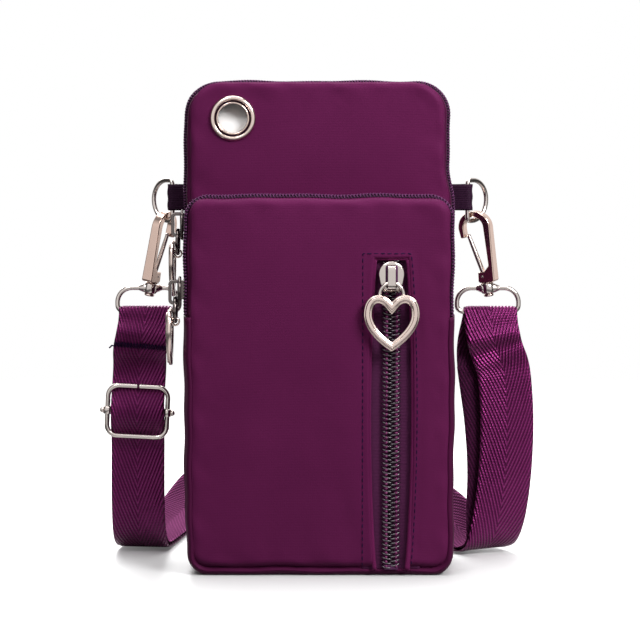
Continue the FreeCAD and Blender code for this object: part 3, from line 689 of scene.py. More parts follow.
def inflated(made, pinned, pressure, reach):
    """Lets a sheet swell under pressure in a short cloth run, held at its pinned points.

    The way that each point has gone is eased off towards a reach in millimetres, and put into the mesh."""
    last_frame = 20
    scene = bpy.context.scene
    group = made.vertex_groups.new(name="pinned")
    group.add([int(number) for number in np.flatnonzero(pinned)], 1.0, "REPLACE")
    before = mesh_points(made.data)
    cloth = made.modifiers.new("Cloth", "CLOTH")
    cloth.settings.quality = 4
    cloth.settings.mass = 0.2
    cloth.settings.tension_stiffness = 25.0
    cloth.settings.compression_stiffness = 25.0
    cloth.settings.shear_stiffness = 10.0
    cloth.settings.bending_stiffness = 1.0
    cloth.settings.use_pressure = True
    cloth.settings.uniform_pressure_force = pressure
    cloth.settings.vertex_group_mass = "pinned"
    cloth.settings.effector_weights.gravity = 0.0
    cloth.collision_settings.use_collision = False
    cloth.point_cache.frame_start = 1
    cloth.point_cache.frame_end = last_frame
    for number in range(1, last_frame + 1):
        scene.frame_set(number)
    mesh = evaluated_mesh(made)
    way = mesh_points(mesh) - before
    bpy.data.meshes.remove(mesh)
    made.modifiers.remove(cloth)
    made.vertex_groups.remove(group)
    scene.frame_set(1)
    length = np.linalg.norm(way, axis=1, keepdims=True)
    eased_way = way / np.maximum(length, 1e-6) * np.tanh(length / reach) * reach
    made.data.vertices.foreach_set("co", ((before + eased_way) * MM).ravel())
    made.data.update()
    return made


def evaluated_mesh(made):
    """A new mesh of an object with its modifiers or its curve worked out."""
    return bpy.data.meshes.new_from_object(made.evaluated_get(bpy.context.evaluated_depsgraph_get()))


def waves(x, z):
    """Slow unevenness of stretched cloth, from minus one to one."""
    first = np.sin(0.061 * x + 0.043 * z + 0.6) * np.sin(0.051 * z - 0.037 * x + 1.9)
    second = np.sin(0.113 * z + 0.047 * x + 0.3) * np.sin(0.097 * x - 0.029 * z + 2.2)
    return 0.65 * first + 0.35 * second


def wander(x, z):
    """Drift of a sewn edge out and in along its seam, in millimetres."""
    return 0.2 * np.sin(0.16 * x - 0.11 * z + 0.8) + 0.15 * np.sin(0.27 * x + 0.31 * z + 2.1)


def drifted(path):
    """A flat seam path that wanders like a sewn edge."""
    return path + outward(path) * wander(path[:, 0], path[:, 1])[:, None]


def leaned(x, z):
    """Draws the pouch's upper part in on its right side."""
    share = np.clip((np.asarray(z, float) - 140.0) / 14.0, 0, 1)
    return x - 1.9 * share * share * (3 - 2 * share) * np.clip((x + 49.5) / 99.0, 0, 1)


def tugged(path, pull):
    """A zip's flat path whose left leg is drawn out by the pulls that hang on it."""
    drawn = path.copy()
    leg = np.clip((-45.0 - path[:, 0]) / 3.0, 0, 1)
    drawn[:, 0] = leaned(path[:, 0], path[:, 1])
    drawn[:, 0] -= leg * (0.45 + pull * np.exp(-(((path[:, 1] - 119.0) / 17.0) ** 2)))
    return drawn


def puckers(x, z, edge):
    """Small gathers that run in from a seam and die out."""
    along = np.sin(0.42 * x + 0.31 * z)
    along = along + 0.6 * np.sin(0.77 * x - 0.53 * z + 1.3) + 0.5 * np.sin(0.23 * x + 0.61 * z + 4.0)
    return 0.22 * along * np.exp(-edge / 5.0) * np.clip(edge / 1.5, 0, 1)


def panel_grid(outline, columns, rows):
    """Grid of x and z over an upright outline; columns stay straight in the middle.

    An outline is its half width, its low and high ends, and the radii of its lower and upper corners."""
    half, low, high, base, top = outline
    u, z = np.meshgrid(np.asarray(columns, float), np.asarray(rows, float))
    down = np.clip(low + base - z, 0, base)
    up = np.clip(z - (high - top), 0, top)
    inset = base - np.sqrt(np.maximum(base**2 - down**2, 0))
    inset = inset + top - np.sqrt(np.maximum(top**2 - up**2, 0))
    straight = 0.72
    middle = straight * half
    outer = middle + (np.abs(u) - straight) / (1 - straight) * (half - inset - middle)
    x = np.where(np.abs(u) <= straight, u * half, np.sign(u) * outer)
    return x, z


def edge_distance(x, z, outline):
    """Distance to an upright outline with round corners, from inside."""
    half, low, high, base, top = outline
    radius = np.where(z < (low + high) / 2, base, top)
    dx = half - np.abs(x)
    dz = np.minimum(z - low, high - z)
    corner = (dx < radius) & (dz < radius)
    from_middle = np.hypot(radius - np.minimum(dx, radius), radius - np.minimum(dz, radius))
    return np.maximum(np.where(corner, radius - from_middle, np.minimum(dx, dz)), 0)


def eased(count, low, high):
    """Numbers from low to high, closer together at both ends."""
    share = np.linspace(0, 1, count)
    share = 0.55 * share + 0.45 * (0.5 - 0.5 * np.cos(math.pi * share))
    return low + (high - low) * share


def bell(values, middle, width):
    """A bell curve of height one."""
    return np.exp(-(((values - middle) / width) ** 2))


def dashes(path, length, gap, radius):
    """Sewing stitches: short rounded threads on a path of three-dimensional points."""
    step = 0.25
    fine = resampled(path, step)
    stride = max(2, int(round((length + gap) / step)))
    run = max(2, int(round(length / step)))
    share = np.linspace(0, 1, run + 1)
    radii = radius * np.sqrt(np.clip(1 - (2 * share - 1) ** 4, 0.05, 1))
    keep = np.unique(np.linspace(0, run, 5).astype(int))
    parts = []
    for start in range(0, len(fine) - run, stride):
        parts.append(tube(fine[start + keep], radii[keep], 6))
    return joined(parts)


def coil_chain(path, up, across, pitch, reach, height, wire, sides):
    """Zip coils: slanted wire loops in two rows that meet in the middle.

    Each loop runs from the row's outer edge over its top to just past the middle, and the rows are half a
    pitch apart. The loop's points are shares of reach, height and pitch."""
    up = np.broadcast_to(up, path.shape)
    across = np.broadcast_to(across, path.shape)
    fine = resampled(np.concatenate([path, up, across], 1), pitch / 2)
    shape = [(0.92, 0.12, 0.34), (0.98, 0.5, 0.3), (0.72, 0.86, 0.1), (0.3, 0.9, -0.1), (-0.16, 0.62, -0.14)]
    shape = np.array(shape)
    along = tangents(fine[:, :3])
    parts = []
    for number in range(len(fine)):
        side = 1 if number % 2 else -1
        loop = (
            fine[number, :3]
            + shape[:, :1] * reach * unit(fine[number, 6:9]) * side
            + shape[:, 1:2] * height * unit(fine[number, 3:6])
            + shape[:, 2:] * pitch * along[number]
        )
        parts.append(tube(smooth_section(loop, 7), wire, sides))
    return joined(parts)


def ply_routes():
    """The two plies' route points: the inner ply follows the outer one a ply's thickness inside it."""
    ply = 1.7
    first, last = 6, 26
    outer = np.array(OUTER_ROUTE, float)
    rows = []
    for number in range(first, last + 1):
        place = outer[number, :3]
        back = unit(place - outer[number - 1, :3])
        ahead = unit(outer[number + 1, :3] - place)
        inwards = unit(np.cross(outer[number, 3:], back + ahead))
        inset = ply / math.cos(half_angle(back, ahead))
        rows.append(np.concatenate([place + inwards * inset, outer[number, 3:]]))
    return outer, np.concatenate([INNER_START, rows, INNER_END])


def spline_points(name, route):
    """Points of a NURBS line through a route, with the direction across the webbing at each."""
    curve = bpy.data.curves.new(name, "CURVE")
    curve.dimensions = "3D"
    curve.resolution_u = 14
    spline = curve.splines.new("NURBS")
    spline.points.add(len(route) - 1)
    flat = np.ones((len(route), 4))
    flat[:, :3] = route[:, :3] * MM
    spline.points.foreach_set("co", flat.ravel())
    spline.order_u = 3
    spline.use_endpoint_u = True
    holder = bpy.data.objects.new(name, curve)
    bpy.context.scene.collection.objects.link(holder)
    bpy.context.view_layer.update()
    mesh = evaluated_mesh(holder)
    line = resampled(mesh_points(mesh), 1.0)
    bpy.data.objects.remove(holder)
    bpy.data.meshes.remove(mesh)
    knots = run_lengths(route[:, :3])
    share = run_lengths(line)
    share = share / share[-1] * knots[-1]
    across = np.stack([np.interp(share, knots, route[:, 3 + axis]) for axis in range(3)], 1)
    return line, unit(across)


def webbing(name, line, across, start, ripple=0.0, middle=0.0):
    """Ribbon mesh of webbing 20 mm wide: a flat section with rounded edges carried along the line.

    Ripples in its thickness direction, a sine along the line within a bell curve, lie about the middle."""
    along = tangents(line)
    across = unit(across - along * np.sum(across * along, axis=1, keepdims=True))
    normal = np.cross(along, across)
    top = np.linspace(-1, 1, 15)
    half = np.concatenate([top, top[::-1]])
    thick = 0.5 * np.sqrt(np.clip(1 - top**10, 0.02, 1))
    level = np.concatenate([thick, -thick[::-1]])
    run = run_lengths(line)
    rise = ripple * bell(run, middle, 9.0) * np.sin((run - middle) * 2 * math.pi / 9.5)
    rippled = line + normal * rise[:, None]
    points = rippled[:, None] + across[:, None] * (half * WEBBING_HALF)[None, :, None]
    points = points + normal[:, None] * level[None, :, None]
    uv = np.stack(np.broadcast_arrays((half + 1)[None] / 2, ((run + start) / 20.0)[:, None]), -1)
    faces = sleeve_faces(len(line), len(half))
    return outward_faces(mesh_object(name, points.reshape(-1, 3), faces, uv.reshape(-1, 2)))


def hook_frame(side):
    """Turn and place of a hook's own frame, whose axes are u to the nose, w across and v up."""
    lean = math.radians(9.0 if side > 0 else 11.5)
    yaw = math.radians(150.0 if side > 0 else 62.0)
    turn = np.array(Matrix.Rotation(-side * lean, 3, "Y") @ Matrix.Rotation(yaw, 3, "Z"))
    reach = 3.4 * math.sqrt(0.5)
    play = 0.6
    seat = np.array([side * (BAR_X + reach), BAR_Y + reach, RING_Z - RING_RADIUS + RING_WIRE + play])
    throat_top = np.array([1.6, 0.0, 28.1])
    return turn, seat - turn @ throat_top


def pull_frame(name):
    """Turn and place of a zip pull's own frame, which faces the front."""
    quarter = np.array([[0.0, 1.0, 0.0], [-1.0, 0.0, 0.0], [0.0, 0.0, 1.0]])
    if name == "pocket":
        return np.eye(3), np.array([POCKET_X, FRONT_BACK, 107.6])
    if name == "front":
        return quarter, np.array([-SIDE_X, FRONT_ZIP_Y, 101.5])
    return quarter, np.array([-SIDE_X, MAIN_ZIP_Y, 125.1])


def window_half(z):
    """Half width of the pocket's window: it gapes in the middle of its height."""
    return 5.3 + 2.5 * np.sin(np.clip((np.asarray(z, float) - 1.0) / 121.0, 0, 1) * math.pi) ** 0.7


def gaped(x, z):
    """Moves points beside the straight window out to its gaping edges."""
    reach = 14.0
    apart = np.abs(x - POCKET_X)
    wider = window_half(z) - POCKET_HALF
    beside = np.clip((apart - POCKET_HALF) / reach, 0, 1)
    within = apart * (1 + wider / POCKET_HALF)
    shifted = np.where(apart < POCKET_HALF, within, apart + wider * (1 - beside))
    return POCKET_X + np.sign(x - POCKET_X) * shifted


class PouchSettings(bpy.types.PropertyGroup):
    stitch: bpy.props.FloatProperty(
        name="Stitch", description="Length of a sewing stitch", default=0.0018, unit="LENGTH", min=0.001
    )
    pillow: bpy.props.FloatProperty(
        name="Pillow", description="How far the padded front swells", default=0.0018, unit="LENGTH", min=0.0
    )
    lens: bpy.props.FloatProperty(
        name="Lens", description="Focal length of the camera", default=149.2, min=20.0
    )
    light: bpy.props.FloatProperty(
        name="Light", description="Strength of the soft light", default=1.0, min=0.0
    )


class POUCH_OT_stage(bpy.types.Operator):
    """Floor, soft lights and camera"""

    bl_idname = "pouch.stage"
    bl_label = "Stage"

    def execute(self, context):
        settings = context.scene.pouch
        scene = context.scene
        scene.view_settings.view_transform = "Standard"
        camera_data = bpy.data.cameras.new("camera")
        camera_data.lens = settings.lens
        camera_data.sensor_width = 36.0
        camera_data.clip_end = 20.0
        scene.camera = self.aimed("camera", camera_data, (0.0, -1.0, 0.21), (0.0, 0.0, 0.095))
        self.floor()
        self.world(scene, settings.light)
        lamps = [
            ("over", (0.0, 0.15, 0.95), 0.7, 8.0),
            ("key", (0.42, -0.42, 0.5), 0.28, 5.1),
            ("fill", (-0.32, -0.52, 0.8), 0.3, 2.0),
            ("rear", (-0.25, 0.95, 0.6), 0.5, 6.0),
        ]
        for name, place, size, power in lamps:
            lamp_data = bpy.data.lights.new(name, "AREA")
            lamp_data.size = size
            lamp_data.energy = power * settings.light
            self.aimed(name, lamp_data, place, (0.0, 0.0, 0.09))
        return {"FINISHED"}

    def aimed(self, name, data, place, target):
        """A camera or lamp at a place, turned to a target."""
        made = bpy.data.objects.new(name, data)
        made.location = place
        aim = Vector(target) - Vector(place)
        made.rotation_euler = aim.to_track_quat("-Z", "Y").to_euler()
        bpy.context.scene.collection.objects.link(made)
        return made

    def floor(self):
        """Pale floor that takes the pouch's shadow, glows beside it for the camera and fades out."""
        half = 900
        corners = [(-half, -half, 0), (half, -half, 0), (half, half, 0), (-half, half, 0)]
        floor = mesh_object("floor", corners, [(0, 1, 2, 3)])
        ground = Material("floor", Roughness=0.4, Specular_IOR_Level=0.3, Emission_Strength=1.0)
        x, y = ground.place().parts()[:2]
        reach = (x * x + y * y).math("SQRT")
        near = ((0.17 - reach) * 8.0).clamped()
        unseen = ray_kind(ground.tree, "Is Glossy Ray").mix((0.1, 0.1, 0.1, 1), (0.05, 0.05, 0.05, 1))
        ground.feed("Base Color", self.seen(ground.tree, near).mix(unseen, (0.72, 0.72, 0.72, 1)))
        beside = (x.math("ABSOLUTE") - 0.05).math("MAXIMUM", y.math("ABSOLUTE") - 0.019)
        glow = (beside * 6.0).clamped(0.6) * self.seen(ground.tree, 0.0)
        ground.feed("Emission Color", glow.mix((0, 0, 0, 1), (1, 1, 1, 1)))
        ground.feed("Alpha", ((0.55 - reach) * 4.0).clamped())
        floor.data.materials.append(ground.material)

    def seen(self, tree, glossy):
        """One for camera rays, and for mirrored and passed rays as far as glossy says."""
        mirrored = ray_kind(tree, "Is Glossy Ray") + ray_kind(tree, "Is Transmission Ray")
        return (ray_kind(tree, "Is Camera Ray") + mirrored * glossy).math("MINIMUM", 1.0)

    def world(self, scene, light):
        """White where it is seen; as light brighter above, and bright before and behind for mirrored rays."""
        world = bpy.data.worlds.new("world")
        world.use_nodes = True
        tree = world.node_tree
        back = tree.nodes["Background"]
        behind, height = coordinates(tree, "Generated").parts()[1:]
        level = (height * 0.4 + 0.12).math("MAXIMUM", 0.06) * light
        back.inputs["Color"].default_value = (1, 1, 1, 1)
        white = tree.nodes.new("ShaderNodeBackground")
        white.inputs["Color"].default_value = (1, 1, 1, 1)
        white.inputs["Strength"].default_value = 1.0
        backdrop = ((behind - 0.38) * 8.0).clamped()
        boxes = ((-0.25 - behind) * 3.5).clamped()
        mirrored = ray_kind(tree, "Is Glossy Ray")
        reflected = boxes * 0.9 + height.math("MAXIMUM", 0.0) * 0.25 + 0.04
        level = level * (1.0 - mirrored) + mirrored * reflected
        tree.links.new(level.socket, back.inputs["Strength"])
        choose = tree.nodes.new("ShaderNodeMixShader")
        tree.links.new(self.seen(tree, backdrop).socket, choose.inputs[0])
        tree.links.new(back.outputs[0], choose.inputs[1])
        tree.links.new(white.outputs[0], choose.inputs[2])
        tree.links.new(choose.outputs[0], tree.nodes["World Output"].inputs[0])
        scene.world = world


class POUCH_OT_strap(bpy.types.Operator):
    """Webbing strap: both plies on each side, their folds over the loops, and the bar-tack"""

    bl_idname = "pouch.strap"
    bl_label = "Strap"

    def execute(self, context):
        outer, inner = ply_routes()
        left, right = self.halves(outer, OUTER_SPLIT)
        self.outer_half("left", -1, left)
        self.outer_half("right", 1, right)
        left, right = self.halves(inner, INNER_SPLIT)
        self.inner_half("left", left)
        self.inner_half("right", right)
        return {"FINISHED"}

    def halves(self, route, split):
        """A ply's two halves, each from its end to the place where they meet."""
        meeting = 0.5 * (route[split - 1 : split] + route[split : split + 1])
        return np.concatenate([route[:split], meeting]), np.concatenate([route[split:][::-1], meeting])

    def outer_half(self, name, side, route):
        """Outer ply: the fold over the loop, then the route; the fold's rear has the inner ply's darker
        finish, which is painted shade.
        """
        front = route[0]
        centre = hook_frame(side)[1] + np.array([1.0 if side > 0 else -1.9, 0, -LOOP_DROP])
        fold = [np.concatenate([place, front[3:]]) for place in self.fold(side, centre, front[:3])]
        line, across = spline_points(name + "_outer_line", np.concatenate([fold, route]))
        crest = int(np.argmax(line[:, 2]))
        ripple, below = (0.75, 15.0) if side > 0 else (0.5, 9.0)
        made = webbing("strap_" + name + "_outer", line, across, 0.0, ripple, crest + below)
        finish_piece(made, "webbing", None)
        # The fold's rear takes the darker inner finish: painted shade.
        made.data.materials.append(material("shaded_webbing"))
        first_front_point = crest * len(made.data.vertices) // len(line)
        for face in made.data.polygons:
            face.material_index = 1 if max(face.vertices) < first_front_point else 0
        (line * MM).tolist()
        nodes = ["strap_left_end", "strap_outer"] if side < 0 else ["strap_right_end"]
        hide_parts(*nodes)
        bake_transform(made)
        if side < 0:
            tack_z = 82.8
            apart = np.abs(line[crest + 1 :, 2] - tack_z)
            number = crest + 1 + int(np.argmin(apart))
            tack = self.bar_tack(line[number], across[number], unit(line[number] - line[number - 1]))
            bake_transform(tack)

    def fold(self, side, centre, front):
        """Route points of the fold: up behind, over the loop's lower run, and down in front."""
        reach = 1.9
        if side < 0:
            points = [front + np.array([0.6, 1.55, 5.0]), front + np.array([1.0, 1.6, 9.0])]
        else:
            points = [(64.0, 21.3, 71.5), (63.4, 21.2, 75.6), (63.3, 21.6, 83.0)]
        points.append(centre + np.array([-0.4, reach, -4.0]))
        for angle in (0, 45, 90, 135, 180):
            turn = math.radians(angle)
            bulge = 1.0 if angle % 90 == 0 else 1.12
            points.append(centre + bulge * np.array([0.0, reach * math.cos(turn), reach * math.sin(turn)]))
        fall = [(0.0, -2.4, -1.5), (0.5, -4.4, -6.5), (1.3, -4.4, -10.5), (2.4, -3.2, -15.0)]
        for out, depth, height in fall:
            points.append(centre + np.array([side * out, depth, height]))
        return points

    def inner_half(self, name, route):
        """Inner ply, whose yarns start a little further on than the outer ply's."""
        line, across = spline_points(name + "_inner_line", route)
        made = webbing("strap_" + name + "_inner", line, across, 7.0)
        # The inner ply's darker finish is painted shade.
        finish_piece(made, "shaded_webbing", "pouch")
        line[0] * MM
        (line * MM).tolist()
        if name == "left":
            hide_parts("strap_inner")

    def bar_tack(self, place, across, along):
        """Row of close zigzag stitches across the webbing, with loose thread ends at its edges."""
        thread = 0.3
        normal = np.cross(along, across)
        normal = normal * -np.sign(normal[1])
        steps = np.arange(-WEBBING_HALF, WEBBING_HALF + 0.05, 0.45)
        rise = np.where(np.arange(len(steps)) % 2, 0.95, -0.95) + 0.25 * np.sin(1.7 * steps)
        slant = 0.09 * steps
        row = place + steps[:, None] * across + (slant + rise)[:, None] * along + normal * 0.62
        second = place + steps[:, None] * across + (slant - rise)[:, None] * along + normal * 0.75
        parts = [tube(row, thread, 6), tube(second, thread, 6)]
        for side in (-1, 1):
            start = place + side * 10.2 * across + normal * 0.5
            bend = start + side * 0.9 * across - along * 0.3
            end = bend + side * 0.8 * across + along * 1.1
            parts.append(tube(np.array([start, bend, end]), thread, 6))
        made = mesh_object("strap_bar_tack", *joined(parts))
        return finish_piece(made, "thread", None)


class POUCH_OT_panels(bpy.types.Operator):
    """Front, middle and back panels of padded nylon"""

    bl_idname = "pouch.panels"
    bl_label = "Panels"

    def execute(self, context):
        pillow = context.scene.pouch.pillow / MM
        self.front(pillow)
        self.middle(pillow)
        self.back(pillow)
        return {"FINISHED"}

    def panel(self, node, points, faces, pinned, reach):
        """Makes a panel's sheet, lets it swell, and finishes it."""
        made = mesh_object(node + "_cloth", points.reshape(-1, 3), faces)
        inflated(made, pinned.ravel(), 4.0, reach)
        thickened(made, CLOTH)
        return finish_piece(made, "nylon", "pouch", [node])

    def front(self, pillow):
        """Front panel: a sheet that swells between its seams, rolls in at them and opens at the zip."""
        low, high, half = 3.3, 142.7, 48.4
        outline = (half, low, high, 6.0, 6.5)
        left, right = (POCKET_X - POCKET_HALF) / half, (POCKET_X + POCKET_HALF) / half
        near = np.linspace(-1.6, 1.6, 17)
        columns = np.concatenate([eased(70, -1, 1), near / half + left, near / half + right, [left, right]])
        columns = np.unique(np.round(columns, 5))
        rows = np.concatenate([eased(96, low, high), near + POCKET_HIGH, [POCKET_HIGH, POCKET_LOW]])
        rows = np.unique(np.round(rows, 4))
        x, z = panel_grid(outline, columns, rows)
        edge = edge_distance(x, z, outline)
        swell = (1 - np.abs(x / half) ** 3) * (1 - np.abs((z - 72) / 70) ** 4)
        y = FRONT_FACE + 0.3 - pillow * 0.9 * swell - 0.22 * waves(x, z) * np.clip(edge / 12, 0, 1)
        base = np.exp(-(z - low) / 4.0)
        crown = np.exp(-(high - z) / 4.0)
        flank = np.exp(-(half - np.abs(x)) / 6.0)
        y = y + (0.7 + 1.5 * base + 1.2 * crown) * np.clip(1 - edge / 2.8, 0, 1) ** 2
        y = y + puckers(x + 31, z, edge)
        beside = np.maximum(np.abs(x - POCKET_X) - POCKET_HALF, z - POCKET_HIGH)
        y = y + 1.1 * np.clip(1 - np.abs(beside) / 1.1, 0, 1) ** 2
        y = y - 0.35 * bell(beside, 1.6, 0.9) * (beside > 0)
        points = np.stack([x, y, z], -1)
        faces = grid_faces(len(rows), len(columns), flip=True)
        centre = points.reshape(-1, 3)[faces].mean(axis=1)
        inside = (np.abs(centre[:, 0] - POCKET_X) < POCKET_HALF) & (centre[:, 2] < POCKET_HIGH)
        drift = wander(x, z)
        points[..., 0] = gaped(x, z) + np.sign(x) * drift * flank
        points[..., 2] = z + drift * (crown - base)
        made = self.panel("front_panel", points, faces[~inside], (edge < 2.7) | (beside < 2.4), 1.8)
        SURFACES["front_panel"] = mesh_points(made.data)

    def middle(self, pillow):
        """Middle panel: a sheet that dips at the eyelet and rolls in at its top and side seams."""
        low, high, half = 1.0, 184.9, 48.9
        outline = (half, low, high, 7.0, 12.0)
        columns = eased(96, -1, 1)
        rows = eased(150, low, high)
        x, z = panel_grid(outline, columns, rows)
        edge = edge_distance(x, z, outline)
        swell = (1 - np.abs(x / half) ** 4) * np.clip((high - z) / 26, 0, 1) ** 0.8
        away = np.hypot(x - EYELET[0], z - EYELET[1])
        pull = bell(away, 8.5, 7.0) * (away > 4)
        y = MIDDLE_FRONT - pillow * 0.45 * swell
        y = y - 0.2 * waves(1.3 * x + 20, z + 40) * np.clip(edge / 10, 0, 1)
        y = y + 0.5 * pull * np.clip(edge / 6, 0, 1) + puckers(x, z, edge)
        y = y + 0.9 * np.clip(1 - edge / 2.4, 0, 1) ** 2
        y = np.where(away < 7.4, MIDDLE_FRONT + 0.15, y)
        points = np.stack([x, y, z], -1)
        faces = grid_faces(len(rows), len(columns), flip=True)
        centre = points.reshape(-1, 3)[faces].mean(axis=1)
        hole = np.hypot(centre[:, 0] - EYELET[0], centre[:, 2] - EYELET[1]) < 6.9
        points[..., 0] = leaned(x, z)
        self.panel("middle_panel", points, faces[~hole], (edge < 2.5) | (away < 9.5) | (z < 140), 0.9)

    def back(self, pillow):
        """Back panel: a sheet that swells backwards between its seams."""
        low, high, half = 1.5, 183.0, 48.6
        outline = (half, low, high, 6.5, 11.0)
        columns = eased(60, -1, 1)
        rows = eased(96, low, high)
        x, z = panel_grid(outline, columns, rows)
        edge = edge_distance(x, z, outline)
        swell = (1 - np.abs(x / half) ** 3) * (1 - np.abs((z - 92) / 91) ** 4)
        y = REAR_FACE - 0.3 + 0.6 * pillow * swell + 0.25 * waves(x + 60, z) * np.clip(edge / 12, 0, 1)
        y = y - 0.95 * np.clip(1 - edge / 2.6, 0, 1) ** 2
        points = np.stack([x, y, z], -1)
        self.panel("back_panel", points, grid_faces(len(rows), len(columns)), edge < 2.7, 1.2)


class POUCH_OT_gussets(bpy.types.Operator):
    """Gussets below the arched zips and the cloth strips behind them"""

    bl_idname = "pouch.gussets"
    bl_label = "Gussets"

    def execute(self, context):
        front = [
            (-3.6, -16.4), (-2.9, -17.2), (-2.0, -18.2), (-1.3, -18.6), (-0.6, -18.2), (0.0, -17.2),
            (0.3, -14), (0.5, -9), (0.3, -3), (0.0, 0.2),
        ]
        rear_seam = [(-0.6, 18.0), (-1.5, 18.4), (-2.1, 18.0)]
        main = [(0.0, 0.2), (-0.2, 1.2), (0.1, 3), (0.4, 8), (0.4, 12), (0.1, 16.6)] + rear_seam
        self.gusset("front_gusset", front, FRONT_ZIP_END)
        self.gusset("main_gusset", main, MAIN_ZIP_END)
        front = [(-1.2, -9.9), (-0.7, -9.0), (-0.4, -5), (-0.4, 0.2)]
        main = [(-0.2, 11.2), (0.3, 12), (0.2, 16)] + rear_seam
        strips = (
            ("front_top_strip", front, FRONT_TOP_Z, FRONT_RADIUS, FRONT_ZIP_END),
            ("main_top_strip", main, TOP_Z, TOP_RADIUS, MAIN_ZIP_END),
        )
        for node, section, height, radius, low in strips:
            path = drifted(arch(SIDE_X - 0.4, height, radius, low, 1.5))
            path[:, 0] = leaned(path[:, 0], path[:, 1])
            shape = strip(path, smooth_section(section, 24))
            strip_piece(node + "_cloth", shape, "gusset", CLOTH, (0, 0, 90), [node])
        return {"FINISHED"}

    def gusset(self, node, section, height):
        """A trough of cloth that swells at its sides, with its front edge drawn in and up at the base."""
        path = drifted(trough(SIDE_X, height, BASE_RADIUS, 1.5))
        points, faces = strip(path, smooth_section(section, 44))
        x, y, z = points.T
        y += 0.9 * np.clip(1 - z / 7.0, 0, 1) * np.clip((-15.0 - y) / 3.0, 0, 1)
        side = np.sin(math.pi * np.clip(z / 125.0, 0, 1)) * np.clip((17.5 - np.abs(y)) / 3.0, 0, 1)
        x += np.where(x < -47.0, -0.9, np.where(x > 47.0, 0.2, 0.0)) * side
        lifted = np.clip((-13.5 - y) / 5.0, 0, 1) ** 2 * np.clip(1 - z / 6.0, 0, 1)
        shape = placed(x, y, np.maximum(z, 0.05) + 0.9 * lifted), faces
        strip_piece(node + "_cloth", shape, "gusset", CLOTH, (0, 0, 60), [node])


class POUCH_OT_arched_zips(bpy.types.Operator):
    """The arched zips of the front and main compartments: tapes and coils"""

    bl_idname = "pouch.arched_zips"
    bl_label = "Arched zips"

    def execute(self, context):
        front_tape = [
            (-4.6, -17.0), (-3.2, -17.5), (-1.6, -17.6), (-0.7, -17.4), (-0.2, -16.8), (0.05, -16.1),
            (0.0, -15.6),
        ]
        main_tape = [(-2.0, 1.2), (-1.0, 1.5), (-0.2, 2.2), (0.0, 3.2), (0.0, 4.4), (0.0, 5.5)]
        front_arch = (SIDE_X - 1.3, FRONT_TOP_Z - 0.4, FRONT_RADIUS)
        main_arch = (SIDE_X - 0.2, TOP_Z, TOP_RADIUS)
        self.arched_zip("front", front_arch, FRONT_ZIP_END, FRONT_ZIP_Y, front_tape, 1.2, 0.8)
        self.arched_zip("main", main_arch, MAIN_ZIP_END, MAIN_ZIP_Y, main_tape, 1.05, 0.2)
        return {"FINISHED"}

    def arched_zip(self, name, bend, low, middle, tape, pitch, pull):
        """One zip's tapes, coils and filler cords along its arch."""
        inside = (0, 0, 90)
        path = tugged(drifted(arch(*bend, low, 1.2)), pull)
        node = name + "_zip_front_tape"
        shape = strip(path, smooth_section(tape, 20))
        strip_piece(node + "_cloth", shape, "gusset", TAPE, inside, [node])
        node = name + "_zip_rear_tape"
        shape = strip(path, [(0.0, middle + 0.6), (0.0, middle + 2.5), (0.0, middle + 5.3)])
        strip_piece(node + "_cloth", shape, "tape", TAPE, inside, [node])
        chain = tugged(drifted(arch(*bend, low + 1.0, 0.5)), pull)
        away = outward(chain)
        place = placed(chain[:, 0], middle, chain[:, 1])
        up = placed(away[:, 0], 0.0, away[:, 1])
        loops = coil_chain(place, up, (0.0, 1.0, 0.0), pitch, 2.0, 1.2, 0.29, 5)
        solid_piece(name + "_zip_coil_loops", loops, "coil", "pouch", [name + "_zip_coils"])
        # The filler cords are real parts of the coil. Their darker ribbon finish is painted shade in the gaps
        # between the loops.
        cord = [(0.0, 0.45), (0.5, 0.55), (0.75, 1.1), (0.55, 1.7), (0.0, 2.0)]
        rows = []
        for way in (-1, 1):
            section = [(out, middle + way * over) for out, over in cord]
            rows.append(strip(chain[::2], smooth_section(section, 10)))
        made = outward_from(mesh_object(name + "_zip_filler_cord", *joined(rows)), inside)
        finish_piece(made, "ribbon", "pouch")


